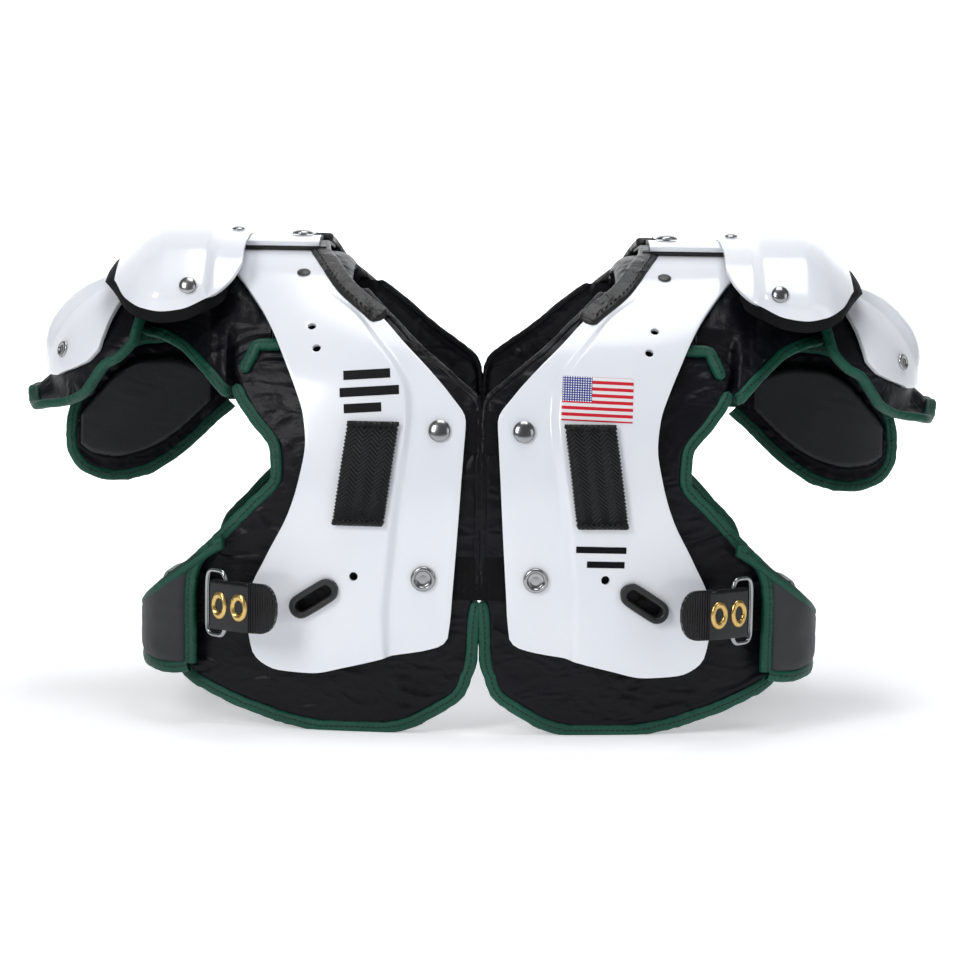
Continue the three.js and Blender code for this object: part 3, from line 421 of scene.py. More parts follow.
@dataclass(frozen=True)
class Arch:
    """The surface that the plates lie on and the body pads hang under."""

    half_depth: float = 0.150
    plan_reach: float = 0.330
    top: float = 0.308
    spring: float = 0.150
    turn: float = 0.62
    gap: float = 0.0005

    def depth(self, x: Array) -> Array:
        """Half depth in plan. Args: x: across. Returns: metres from the middle plane."""
        return self.half_depth * np.sqrt(1 - (x / self.plan_reach) ** 2)

    def bare(self, x: Array, down: Array, side: Side) -> Array:
        """Points of the arch. Args: x: across. down: share of the run. side: which. Returns: N by 3."""
        angle = np.minimum(down, self.turn) / self.turn * math.pi / 2
        rest = np.maximum(0, down - self.turn) / (1 - self.turn)
        curved = self.spring + (self.top - self.spring) * np.cos(angle)
        z = np.where(down > self.turn, self.spring * (1 - rest), curved)
        return stack(x, side.value * self.depth(x) * np.sin(angle), z)

    def normal(self, x: Array, down: Array, side: Side) -> Array:
        """Ways out of the arch. Args: x: across. down: share. side: which. Returns: N by 3."""
        x, down = np.broadcast_arrays(np.asarray(x, float), np.asarray(down, float))
        e = 1e-4
        across = self.bare(x + e, down, side) - self.bare(x - e, down, side)
        onward = self.bare(x, down + e, side) - self.bare(x, down - e, side)
        return unit(np.cross(across, onward) * side.value)

    def at(self, x: Array, down: Array, side: Side, lift: Array) -> Array:
        """Points above the arch, in the row frame. Args: x, down, side: where. lift: height.
        Returns: N by 3."""
        lift = np.asarray(lift, float)
        return self.bare(x, down, side) + self.normal(x, down, side) * lift[..., None] + SHIFT

    def down_at(self, z: Array) -> Array:
        """The share of the run for a height. Args: z: height over the arch's foot. Returns: share."""
        z = np.asarray(z, float)
        low = self.turn + (1 - self.turn) * (1 - z / self.spring)
        curved = np.clip((z - self.spring) / (self.top - self.spring), -1, 1)
        return np.where(z < self.spring, low, self.turn * np.arccos(curved) / (math.pi / 2))

    def spot(self, x: float, z: float, side: Side, lift: float, turn: float = 0) -> Matrix:
        """A place on the arch with Z outwards and Y up. Args: x, z: where. side: which. lift: height.
        turn: degrees about Z. Returns: its matrix."""
        down = float(self.down_at(z))
        out = Vector(self.normal(x, down, side))
        across = (Vector((1, 0, 0)) - out * out.x).normalized()
        frame_ = Matrix((across, out.cross(across), out)).transposed().to_4x4()
        at = Matrix.Translation(Vector(self.at(x, down, side, lift)))
        return at @ frame_ @ Matrix.Rotation(math.radians(turn), 4, "Z")


ARCH = Arch()


def facing(origin: Array, outer: Array, across: Array) -> Matrix:
    """A place with Z from one point to another. Args: origin, outer: points. across: X. Returns: matrix."""
    out = Vector(outer - origin).normalized()
    x = Vector(across)
    x = (x - out * x.dot(out)).normalized()
    frame_ = Matrix((x, out.cross(x), out)).transposed().to_4x4()
    return Matrix.Translation(Vector(origin)) @ frame_


# Finishes


class Graph:
    """Adds and joins shader nodes in one node tree."""

    def __init__(self, tree: bpy.types.NodeTree) -> None:
        """Args: tree: the tree to build in."""
        self.tree = tree

    def add(self, kind: str, inputs: dict[str, object] | None = None, **settings: object) -> bpy.types.Node:
        """Adds a node. Args: kind: its type. inputs: values or sockets by name. settings: its options.
        Returns: the node."""
        node = self.tree.nodes.new(kind)
        for key, value in settings.items():
            setattr(node, key, value)
        for key, value in (inputs or {}).items():
            socket = node.inputs[key]
            if isinstance(value, Socket):
                self.tree.links.new(value, socket)
            else:
                socket.default_value = value
        return node

    def math(self, operation: str, a: object, b: object = 0.0) -> Socket:
        """A maths node. Args: operation: which. a, b: values or sockets. Returns: its output."""
        node = self.tree.nodes.new("ShaderNodeMath")
        node.operation = operation
        for socket, value in zip(node.inputs, (a, b)):
            if isinstance(value, Socket):
                self.tree.links.new(value, socket)
            else:
                socket.default_value = value
        return node.outputs[0]

    def texture_map(self) -> tuple[Socket, Socket]:
        """Returns: the two coordinates of the piece's own texture map."""
        split = self.add("ShaderNodeSeparateXYZ", {"Vector": self.add("ShaderNodeUVMap").outputs[0]})
        return split.outputs["X"], split.outputs["Y"]

    def mixed(self, mask: object, below: object, above: Colour) -> Socket:
        """Lays a colour over another. Args: mask: where. below: colour or socket. above: colour.
        Returns: the colour."""
        mixer = self.add("ShaderNodeMix", data_type="RGBA")
        self.tree.links.new(mask, mixer.inputs[0])
        if isinstance(below, Socket):
            self.tree.links.new(below, mixer.inputs[6])
        else:
            mixer.inputs[6].default_value = (*below, 1)
        mixer.inputs[7].default_value = (*above, 1)
        return mixer.outputs[2]

    def bump(self, height: object, strength: float, distance: float,
             below: object = None) -> Socket:
        """A bump node. Args: height: socket. strength, distance: values. below: a normal.
        Returns: the normal."""
        inputs = {"Height": height, "Strength": strength, "Distance": distance}
        if below is not None:
            inputs["Normal"] = below
        return self.add("ShaderNodeBump", inputs).outputs["Normal"]


@dataclass(frozen=True)
class Mask:
    """Noise of one size. With a stretch it is ridged, as creases are."""

    name: str
    scale: float
    detail: float
    warp: float = 0.0
    stretch: Colour | None = None


def mask_group(name: str, masks: Sequence[Mask]) -> bpy.types.NodeTree:
    """A group of noise masks over object space. Args: name: its name. masks: one for each output.
    Returns: the group."""
    tree = bpy.data.node_groups.new(name, "ShaderNodeTree")
    for mask in masks:
        tree.interface.new_socket(name=mask.name, in_out="OUTPUT", socket_type="NodeSocketFloat")
    graph = Graph(tree)
    out = graph.add("NodeGroupOutput")
    for mask in masks:
        place = graph.add("ShaderNodeTexCoord").outputs["Object"]
        inputs = {"Scale": mask.scale, "Detail": mask.detail, "Distortion": mask.warp}
        if mask.stretch:
            turned_by = {"Vector": place, "Scale": mask.stretch, "Rotation": (0.3, 0.5, 0.2)}
            place = graph.add("ShaderNodeMapping", turned_by).outputs[0]
            ridged = {"noise_type": "RIDGED_MULTIFRACTAL", "normalize": True}
        else:
            ridged = {}
        node = graph.add("ShaderNodeTexNoise", {"Vector": place, **inputs}, **ridged)
        tree.links.new(node.outputs["Fac"], out.inputs[mask.name])
    return tree


UNEVEN = mask_group("Unevenness", (
    Mask("Broad", 14.0, 2.0),
    Mask("Middle", 70.0, 3.0),
    Mask("Fine", 600.0, 2.0),
))
CREASED = mask_group("Creases", (
    Mask("Folds", 26.0, 2.5, 1.6, (1, 1, 2.2)),
    Mask("Puckers", 95.0, 2.5, 0.8, (1, 1, 1.5)),
))


@dataclass(frozen=True)
class Finish:
    """A finish with even colour, broken up by noise in its roughness and relief."""

    name: str
    colour: Colour
    second: Colour | None = None
    roughness: float = 0.5
    spread: float = 0.08
    metallic: float = 0.0
    coat: float = 0.0
    specular: float = 0.5
    subsurface: float = 0.0
    relief: float = 0.0
    relief_from: str = "Fine"
    folds: float = 0.0
    puckers: float = 0.0

    def material(self) -> bpy.types.Material:
        """Builds the finish once. Returns: the material."""
        made = bpy.data.materials.get(self.name)
        if made:
            return made
        material = bpy.data.materials.new(self.name)
        material.use_nodes = True
        graph = Graph(material.node_tree)
        shader = material.node_tree.nodes["Principled BSDF"]
        uneven = graph.add("ShaderNodeGroup", node_tree=UNEVEN)
        low, high = self.roughness - self.spread, self.roughness + self.spread
        values = {"Value": uneven.outputs["Middle"], "To Min": low, "To Max": high}
        rough = graph.add("ShaderNodeMapRange", values)
        material.node_tree.links.new(rough.outputs[0], shader.inputs["Roughness"])
        for key, value in {
            "Base Color": (*self.colour, 1),
            "Metallic": self.metallic,
            "Specular IOR Level": self.specular,
            "Coat Weight": self.coat,
            "Coat Roughness": 0.12,
            "Sheen Roughness": 0.4,
            "Subsurface Weight": self.subsurface,
            "Subsurface Radius": (0.9, 1.0, 1.2),
            "Subsurface Scale": 0.004,
        }.items():
            shader.inputs[key].default_value = value
        if self.second:
            tone = self.blend(graph, uneven.outputs["Broad"])
            material.node_tree.links.new(tone, shader.inputs["Base Color"])
        normal = None
        if self.folds or self.puckers:
            creased = graph.add("ShaderNodeGroup", node_tree=CREASED)
            normal = graph.bump(creased.outputs["Folds"], self.folds, 0.004)
            normal = graph.bump(creased.outputs["Puckers"], self.puckers, 0.0015, normal)
        if self.relief:
            normal = graph.bump(uneven.outputs[self.relief_from], self.relief, 0.0006, normal)
        normal = self.detail(graph, shader, normal)
        if normal is not None:
            material.node_tree.links.new(normal, shader.inputs["Normal"])
        return material

    def blend(self, graph: Graph, mask: Socket) -> Socket:
        """Two tones by a mask. Args: graph: the tree. mask: a socket. Returns: the colour."""
        ramp = graph.add("ShaderNodeValToRGB", {"Fac": mask})
        ramp.color_ramp.elements[0].position, ramp.color_ramp.elements[1].position = 0.3, 0.7
        ramp.color_ramp.elements[0].color = (*self.colour, 1)
        ramp.color_ramp.elements[1].color = (*(self.second or self.colour), 1)
        return ramp.outputs["Color"]

    def detail(self, graph: Graph, shader: bpy.types.Node, normal: object) -> object:
        """What a special finish adds. Args: graph: the tree. shader: its shader. normal: so far.
        Returns: the normal."""
        return normal


@dataclass(frozen=True)
class Woven(Finish):
    """Webbing with a herringbone of ribs along its length, by its texture map in metres."""

    rib: float = 0.0016
    band: float = 0.008
    depth: float = 0.9

    def detail(self, graph: Graph, shader: bpy.types.Node, normal: object) -> object:
        """Adds the ribs. Args: as in Finish. Returns: the normal."""
        x, y = graph.texture_map()
        slant = graph.math("ADD", y, graph.math("PINGPONG", x, self.band / 2))
        wave = graph.math("SINE", graph.math("MULTIPLY", slant, 2 * math.pi / self.rib))
        return graph.bump(wave, self.depth, 0.0006, normal)


@dataclass(frozen=True)
class Stitched(Finish):
    """Binding tape or leather with a line of stitches beside its fold, by its texture map in metres."""

    thread: Colour = (0.003, 0.024, 0.015)
    at: float = 0.26
    pitch: float = 0.0034
    wide: float = 0.016
    rib: float = 0.0011

    def detail(self, graph: Graph, shader: bpy.types.Node, normal: object) -> object:
        """Adds stitches and fine cross ribs. Args: as in Finish. Returns: the normal."""
        x, y = graph.texture_map()
        around = graph.math("PINGPONG", x, 0.5)
        off = graph.math("ABSOLUTE", graph.math("SUBTRACT", around, self.at))
        row = graph.math("LESS_THAN", off, self.wide)
        dash = graph.math("LESS_THAN", graph.math("MODULO", y, self.pitch), self.pitch * 0.8)
        mask = graph.math("MULTIPLY", row, dash)
        base = shader.inputs["Base Color"]
        below = base.links[0].from_socket if base.links else self.colour
        graph.tree.links.new(graph.mixed(mask, below, self.thread), base)
        rib = graph.math("SINE", graph.math("MULTIPLY", y, 2 * math.pi / self.rib))
        normal = graph.bump(rib, 0.25, 0.0003, normal)
        return graph.bump(mask, 0.4, 0.0005, normal)


@dataclass(frozen=True)
class Flag(Finish):
    """A national flag of stripes and a starred canton, printed by its texture map in metres.

    The pattern is a little larger than the print, so that its outer stripes are cut.
    """

    width: float = 0.046
    height: float = 0.029
    canton: tuple[float, float] = (0.42, 0.46)

    def detail(self, graph: Graph, shader: bpy.types.Node, normal: object) -> object:
        """Adds the stripes, canton and stars. Args: as in Finish. Returns: the normal."""
        x, y = graph.texture_map()
        stripe = graph.math("LESS_THAN", graph.math("PINGPONG", y, self.height / 13), self.height / 26)
        left = graph.math("LESS_THAN", x, self.width * self.canton[0])
        canton = graph.math("MULTIPLY", left, graph.math("GREATER_THAN", y, self.height * self.canton[1]))
        cell = self.width * self.canton[0] / 6
        a, b = (graph.math("SUBTRACT", graph.math("PINGPONG", along, cell / 2), cell / 4) for along in (x, y))
        far = graph.math("ADD", graph.math("MULTIPLY", a, a), graph.math("MULTIPLY", b, b))
        star = graph.math("MULTIPLY", graph.math("LESS_THAN", far, (cell * 0.16) ** 2), canton)
        colour = graph.mixed(stripe, self.colour, (0.62, 0.012, 0.025))
        colour = graph.mixed(canton, colour, (0.012, 0.03, 0.23))
        colour = graph.mixed(star, colour, (0.75, 0.76, 0.8))
        graph.tree.links.new(colour, shader.inputs["Base Color"])
        return normal


PLASTIC = Finish("White plastic", (0.79, 0.815, 0.87), (0.84, 0.86, 0.905), roughness=0.2, spread=0.05,
               coat=0.5, subsurface=0.12, relief=0.04, relief_from="Middle")
NYLON = Finish("Satin nylon", (0.003, 0.003, 0.0045), (0.005, 0.005, 0.0075), roughness=0.38, spread=0.08,
               specular=0.17, relief=0.25, folds=0.6, puckers=0.3)
FOAM = Finish("Charcoal foam", (0.032, 0.032, 0.035), (0.041, 0.041, 0.044), roughness=0.55, spread=0.08,
              specular=0.22, relief=0.3, folds=0.1)
DARK_FOAM = Finish("Black foam", (0.004, 0.004, 0.005), (0.007, 0.007, 0.008), roughness=0.7, specular=0.1,
                   relief=0.6)
BINDING = Stitched("Green binding", (0.004, 0.055, 0.032), (0.008, 0.082, 0.050), roughness=0.48, spread=0.1,
                   specular=0.3, relief=0.4, puckers=0.8)
LEATHER = Finish("Creased leather", (0.007, 0.007, 0.007), (0.024, 0.023, 0.022), roughness=0.36,
                 spread=0.12, specular=0.34, relief=0.6, puckers=0.75, folds=0.3)
WEBBING = Woven("Black webbing", (0.006, 0.006, 0.007), (0.010, 0.010, 0.011), roughness=0.38, specular=0.36,
                rib=0.0028, band=0.0107, depth=1.0)
PLAIN_WEBBING = Woven("Strap webbing", (0.004, 0.004, 0.005), roughness=0.6, specular=0.18, rib=0.0012,
                      band=0.004)
RIBBED = Woven("Ribbed webbing", (0.008, 0.008, 0.009), (0.012, 0.012, 0.014), roughness=0.3, specular=0.36,
               rib=0.0017, band=1e-5, depth=1.0)
DARK_STEEL = Finish("Dark steel", (0.02, 0.02, 0.021), (0.04, 0.04, 0.042), roughness=0.35, metallic=0.3)
PATENT = Finish("Smooth black tape", (0.005, 0.005, 0.006), (0.008, 0.008, 0.010), roughness=0.17,
                specular=0.36, relief=0.15)
RUBBER = Finish("Dark rubber", (0.018, 0.018, 0.019), (0.024, 0.024, 0.024), roughness=0.36, specular=0.32,
                relief=0.3)
STEEL = Finish("Nickel steel", (0.30, 0.305, 0.31), (0.42, 0.425, 0.43), roughness=0.22, spread=0.06,
               metallic=1.0)
BRASS = Finish("Brass", (0.60, 0.40, 0.13), (0.72, 0.52, 0.20), roughness=0.28, spread=0.08, metallic=1.0)
THREAD = Finish("Black thread", (0.005, 0.005, 0.006), roughness=0.6, specular=0.15)
FLAG = Flag("Printed flag", (0.8, 0.8, 0.82), roughness=0.3, coat=0.3)


def dress(piece: Piece, finish: Finish) -> Piece:
    """Gives a piece its finish and body. Args: piece: it. finish: its material."""
    piece.data.materials.clear()
    piece.data.materials.append(finish.material())
    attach(piece, "root")
    log.info("%s: %d faces", piece.name, len(piece.data.polygons))
    return piece


def pair(
    piece: Piece, finish: Finish, nodes: Sequence[str] = ()
) -> tuple[Piece, Piece]:
    """Mirrors a right piece and dresses both.

    Args:
        piece: the right piece, which gets _right after its name.
        finish: its material.
        nodes: CAD nodes that it stands for, without their side.

    Returns:
        The right and the left piece.
    """
    stem = piece.name
    piece.name = piece.data.name = f"{stem}_{Half.RIGHT.value}"
    twin = mirrored(piece, f"{stem}_{Half.LEFT.value}")
    for made, half in ((piece, Half.RIGHT), (twin, Half.LEFT)):
        dress(made, finish)
        if nodes:
            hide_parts(*(f"{node}_{half.value}" for node in nodes))
    return piece, twin


# Plates, caps and cups


@dataclass(frozen=True)
class PlateTable:
    """Outline of a plate: share of the arch's run, then shares of the span."""

    down: Row
    inner: Row
    ridge: Row
    outer: Row


FRONT_TABLE = PlateTable(
    (-0.085, -0.042, 0.0, 0.042, 0.085, 0.149, 0.224, 0.3, 0.35, 0.4, 0.445, 0.485, 0.53, 0.58, 0.64, 0.71,
     0.775, 0.82, 0.85, 0.872, 0.893, 0.912),
    (0.7, 0.7, 0.7, 0.695, 0.68, 0.635, 0.56, 0.41, 0.32, 0.215, 0.125, 0.064, 0.07, 0.078, 0.087, 0.098,
     0.109, 0.117, 0.17, 0.38, 0.52, 0.67),
    (0.78, 0.78, 0.78, 0.775, 0.76, 0.71, 0.635, 0.485, 0.405, 0.32, 0.275, 0.27, 0.28, 0.3, 0.32, 0.335,
     0.35, 0.357, 0.362, 0.45, 0.56, 0.7),
    (1.2, 1.21, 1.21, 1.19, 1.155, 1.075, 0.985, 0.895, 0.84, 0.79, 0.745, 0.712, 0.7, 0.72, 0.765, 0.85,
     0.918, 0.928, 0.928, 0.92, 0.895, 0.83),
)
BACK_TABLE = PlateTable(
    (-0.085, -0.042, 0.0, 0.042, 0.085, 0.128, 0.17, 0.215, 0.26, 0.3, 0.35, 0.41, 0.46, 0.52, 0.6, 0.7,
     0.79, 0.85, 0.885, 0.912),
    (0.7, 0.7, 0.7, 0.695, 0.68, 0.65, 0.61, 0.55, 0.48, 0.41, 0.32, 0.195, 0.1, 0.07, 0.082, 0.096,
     0.114, 0.17, 0.46, 0.67),
    (0.78, 0.78, 0.78, 0.775, 0.76, 0.725, 0.685, 0.625, 0.555, 0.485, 0.405, 0.305, 0.27, 0.28, 0.3, 0.335,
     0.352, 0.362, 0.51, 0.7),
    (1.2, 1.21, 1.21, 1.19, 1.155, 1.1, 1.05, 0.995, 0.94, 0.895, 0.84, 0.78, 0.73, 0.7, 0.73, 0.84,
     0.925, 0.928, 0.91, 0.83),
)
TABLES = {Side.FRONT: FRONT_TABLE, Side.BACK: BACK_TABLE}


@dataclass(frozen=True)
class FootTable:
    """The rounded lower end of a plate: share of its width, share of the span and share of the run."""

    start: float = 0.80
    straight: float = 0.84
    share: Row = (0, 0.02, 0.05, 0.10, 0.17, 0.36, 0.55, 0.70, 0.85, 0.92, 0.96, 1)
    across: Row = (0.117, 0.123, 0.145, 0.215, 0.342, 0.388, 0.53, 0.664, 0.80, 0.875, 0.905,
                                 0.922)
    down: Row = (0.818, 0.838, 0.850, 0.860, 0.869, 0.8745, 0.8896, 0.901, 0.898, 0.884,
                               0.868, 0.835)


FOOT = FootTable()


@dataclass(frozen=True)
class PlateSize:
    """Sizes of the chest and back plates."""

    wall: float = 0.003
    span: float = 0.160
    emboss: float = 0.005
    step: float = 0.007
    overlap: float = 0.085
    ramp: float = 0.17
    lift: float = 0.0065
    cells: tuple[int, int] = (46, 120)
    knots: tuple[float, float] = (0.17, 0.36)
    rivet_bore: float = 0.0034
    screw_bore: float = 0.0029
    lacing_bore: float = 0.0028


@dataclass(frozen=True)
class HeadSize:
    """A round-headed fastener."""

    head: float = 0.017
    height: float = 0.004
    shank: float = 0.006
    length: float = 0.006
    rim: bool = False
    lift: float = 0.0004


@dataclass(frozen=True)
class SlotSize:
    """The strap slot in the chest plate and the rubber ring in it."""

    across: float = 0.105
    height: float = 0.088
    turn: float = -33.0
    length: float = 0.0388
    width: float = 0.016
    open_length: float = 0.026
    open_width: float = 0.0072
    cover: float = 0.0036


PLATE = PlateSize()
SLOT = SlotSize()
CHEST_RIVETS = ((0.027, 0.196), (0.036, 0.102))
LACING = ((0.111, 0.256), (0.107, 0.243), (0.080, 0.103))
SCREW_ACROSS = 0.125
FLUSH_SCREW = (0.120, 0.291)


def emboss_at(down: Array) -> Array:
    """Height of the raised field. Args: down: share of the run. Returns: metres."""
    return PLATE.emboss * smooth((np.abs(down) - 0.22) / 0.13)


def stand_off(down: Array, side: Side) -> Array:
    """How far the back plate stands off over the shoulder. Args: down: share. side: which.
    Returns: metres."""
    if side is Side.FRONT:
        return 0 * down
    return PLATE.lift * (1 - smooth((down - PLATE.overlap) / (PLATE.ramp - PLATE.overlap)))


def plate_face(x: float, z: float) -> float:
    """Lift of the chest plate's outer face. Args: x, z: a spot. Returns: metres."""
    down = float(ARCH.down_at(z))
    ridge = float(curve(FRONT_TABLE.down, FRONT_TABLE.ridge, np.array([down]))[0]) * PLATE.span
    raised = float(smooth((x - ridge) / PLATE.step))
    return ARCH.gap + PLATE.wall + raised * float(emboss_at(down))


def stadium(name: str, length: float, width: float, z: tuple[float, float], at: Matrix) -> Piece:
    """A bar with round ends. Args: name: its name. length, width: size. z: from and to. at: the place.
    Returns: the bar."""
    def place(u: Array, v: Array) -> Array:
        """Args: u, v: shares. Returns: the points there."""
        turn = 2 * math.pi * u
        half = (length - width) / 2
        r = np.interp(v, [0, 1e-6, 0.34, 0.66, 1 - 1e-6, 1], [0, 1, 1, 1, 1, 0]) * width / 2
        x = r * np.cos(turn) + np.where(np.cos(turn) > 0, half, -half) * np.where(r > 0, 1, 0)
        return stack(x, r * np.sin(turn), np.where(v > 0.5, z[1], z[0]))

    bar = skin(name, (48, 3), place)
    edit(bar, weld, face_outwards)
    return placed(bar, at)


@dataclass(frozen=True)
class Plates:
    """The white chest and back plates of moulded plastic."""

    size: PlateSize = PLATE
    foot: FootTable = FOOT
    slot: SlotSize = SLOT

    def surface(self, table: PlateTable, side: Side) -> Place:
        """Args: table: outline. side: which. Returns: the plate's outer face."""
        size = self.size
        def place(u: Array, v: Array) -> Array:
            """Args: u, v: shares. Returns: the points there."""
            down = np.interp(v, (0, self.foot.straight, 1), (table.down[0], self.foot.start, self.foot.start))
            inner, ridge, outer = (softened(table.down, rows, down, 0.007) * size.span
                                   for rows in (table.inner, table.ridge, table.outer))
            crest = ridge + size.step
            low, high = size.knots
            climb = (u - low) / (high - low)
            above = np.where(u < high, mix(ridge, crest, climb), mix(crest, outer, (u - high) / (1 - high)))
            x = np.where(u < low, mix(inner, ridge, u / low), above)
            past = np.clip((v - self.foot.straight) / (1 - self.foot.straight), 0, 1)
            x = mix(x, curve(self.foot.share, self.foot.across, u) * size.span, past)
            down = mix(down, curve(self.foot.share, self.foot.down, u), past)
            raised = smooth(climb) * emboss_at(down)
            off = stand_off(down, side)
            return ARCH.at(x, down, side, ARCH.gap + size.wall + off + raised)

        return place

    def cutters(self, side: Side) -> list[Piece]:
        """Args: side: which. Returns: bodies for the bores."""
        size = self.size
        bars = [cylinder(size.rivet_bore, 0.03, ARCH.spot(x, z, side, 0)) for x, z in CHEST_RIVETS]
        top = Matrix.Translation(Vector((SCREW_ACROSS, 0, ARCH.top)) + Vector(SHIFT))
        bars.append(cylinder(size.screw_bore, 0.04, top))
        if side is Side.FRONT:
            bars += [cylinder(size.lacing_bore, 0.03, ARCH.spot(x, z, side, 0), 24) for x, z in LACING]
            at = ARCH.spot(self.slot.across, self.slot.height, side, 0, self.slot.turn)
            length, width = self.slot.length - self.slot.cover, self.slot.width - self.slot.cover
            bars.append(stadium("slot_cutter", length, width, (-0.02, 0.02), at))
        return bars

    def build(self) -> None:
        """Builds and dresses the plates."""
        for side, stem in ((Side.FRONT, "front_plate"), (Side.BACK, "back_plate")):
            surface = self.surface(TABLES[side], side)
            plate = walled(f"plastic_{stem}", self.size.cells, surface, self.size.wall, self.cutters(side))
            pair(plate, PLASTIC, [stem])


@dataclass(frozen=True)
class CapSize:
    """The cap over the shoulder. The tables are rows of across, rise and end."""

    inner: float = 0.160
    width: float = 0.085
    half_length: float = 0.108
    fall: float = 0.062
    top: float = 0.3222
    wall: float = 0.0035
    crown: float = 0.0065
    foam: tuple[float, float, float] = (0.001, 0.005, 0.009)
    foam_reach: float = 0.0085
    across: Row = (0.0, 0.05, 0.12, 0.2, 0.28, 0.44, 0.6, 0.76, 0.89, 1.0)
    rise: Row = (0.0, 0.0, 0.0, 0.05, 0.9, 1.0, 1.0, 0.35, -0.95, -2.3)
    end: Row = (48.0, 58.0, 65.5, 71.0, 75.0, 80.5, 82.0, 79.5, 72.0, 54.0)


CAP = CapSize()


def cap_point(across: Array, rise: Array, angle: Array, lift: Array) -> Array:
    """Points of the cap. Args: across, rise, angle: where. lift: height. Returns: N by 3."""
    grow = rise * CAP.crown + lift
    y = -(CAP.half_length + grow) * np.sin(angle)
    z = CAP.top - CAP.fall + (CAP.fall + grow) * np.cos(angle)
    return stack(CAP.inner + across * CAP.width, y, z) + SHIFT


@dataclass(frozen=True)
class Caps:
    """The plastic shoulder caps and the foam that shows round their rims."""

    size: CapSize = CAP

    def face(self, u: Array, v: Array) -> Array:
        """Args: u, v: shares across and along. Returns: the cap's outer face."""
        size = self.size
        share = 2 * v - 1
        end = np.radians(curve(size.across, size.end, u))
        rise = curve(size.across, size.rise, u)
        near = smooth((1 - np.abs(share)) / 0.10)
        rise = np.where(rise > 0, rise * mix(0.35, 1.0, near), rise)
        return cap_point(u, rise, end * share, 0)

    def foam(self, lift: float, reach: float) -> Place:
        """Args: lift: below the cap's face. reach: beyond its rim. Returns: a skin of the foam."""
        size = self.size
        def place(u: Array, v: Array) -> Array:
            """Args: u, v: shares. Returns: the points there."""
            across = mix(0.1, 1 + reach / size.width, u)
            inside = np.minimum(across, 1)
            rise = curve(size.across, size.rise, inside) - np.maximum(across - 1, 0) * 5
            end = np.radians(curve(size.across, size.end, inside) - np.maximum(across - 1, 0) * 170)
            tip = math.radians(50 * reach / size.fall)
            share = 2 * v - 1
            return cap_point(across, rise, end * share + tip * np.sign(share) * np.abs(share) ** 6, lift)

        return place

    def foam_skin(self, lift: float, middle: float) -> Place:
        """Args: lift: of the skin. middle: of the foam's rim.
        Returns: the skin, drawn to the rim at its edge."""
        full, rim = self.foam(lift, self.size.foam_reach), self.foam(middle, self.size.foam_reach)

        def place(u: Array, v: Array) -> Array:
            """Args: u, v: shares. Returns: the points there."""
            edge = np.minimum(to_ends(u) / 0.06, to_ends(v) / 0.04)[:, None]
            return mix(rim(u, v), full(u, v), np.sqrt(np.clip(edge, 0, 1)))

        return place

    def spot(self, across: float, rise: float, degrees: float) -> Matrix:
        """A place on the cap's face. Args: across, rise, degrees: where. Returns: its matrix."""
        here = (np.array(across), np.array(rise), np.array(math.radians(degrees)))
        return facing(cap_point(*here, 0.0), cap_point(*here, 0.001), ACROSS)

    def rivet_at(self) -> Matrix:
        """Returns: the place of the cap's rivet."""
        return self.spot(0.39, 1.0, 68)

    def screw_at(self) -> Matrix:
        """Returns: the place of the small screw on the cap's inner edge."""
        return self.spot(0.09, 0.0, 10)

    def build(self) -> None:
        """Builds and dresses the caps and their foam."""
        size = self.size
        bores = [cylinder(PLATE.rivet_bore, 0.02, self.rivet_at())]
        cap = walled("plastic_cap", (44, 64), self.face, size.wall, bores)
        pair(cap, PLASTIC, ["shoulder_cap"])
        top, middle, low = (-size.wall - depth for depth in size.foam)
        foam = pillow("foam_cap", (30, 48), self.foam_skin(top, middle), self.foam_skin(low, middle))
        pair(foam, DARK_FOAM, ["cap_foam"])


@dataclass(frozen=True)
class CupSize:
    """The cup over the upper arm. The tables are rows of degrees round, half length and rise."""

    top: float = 0.2932
    inner: float = 0.225
    outer: float = 0.301
    bottom: float = 0.226
    bend: float = 0.092
    half_length: float = 0.075
    wall: float = 0.0035
    crown: float = 0.005
    round: Row = (0.0, 12.0, 26.0, 42.0, 58.0, 74.0, 86.0, 94.0)
    half: Row = (0.4, 0.6, 0.82, 0.95, 1.0, 0.98, 0.88, 0.66)
    rise: Row = (0.0, 0.0, 0.7, 1.0, 1.0, 0.6, 0.0, 0.0)


CUP = CupSize()


def cup_point(degrees: Array, y: Array, lift: Array, beyond: Array = 0, below: Array = 0) -> Array:
    """Points of the cup. Args: degrees: down the crest. y: along. lift: height. beyond: past its end.
    below: past its foot. Returns: N by 3."""
    angle = np.radians(degrees)
    normal = stack(np.sin(angle), 0, np.cos(angle))
    crest = stack(CUP.inner + (CUP.outer - CUP.inner) * np.sin(angle), 0,
                  CUP.bottom + (CUP.top - CUP.bottom) * np.cos(angle))
    bend = np.arcsin(np.clip(y / CUP.bend, -1, 1))
    c, s = np.cos(bend)[..., None], np.sin(bend)[..., None]
    along = crest - normal * CUP.bend * (1 - c)
    out = normal * c + ALONG * s
    tangent = ALONG * c - normal * s
    y, beyond, below, lift = (np.asarray(value)[..., None] for value in (y, beyond, below, lift))
    return along + y * ALONG + tangent * beyond - below * UP + out * lift + SHIFT


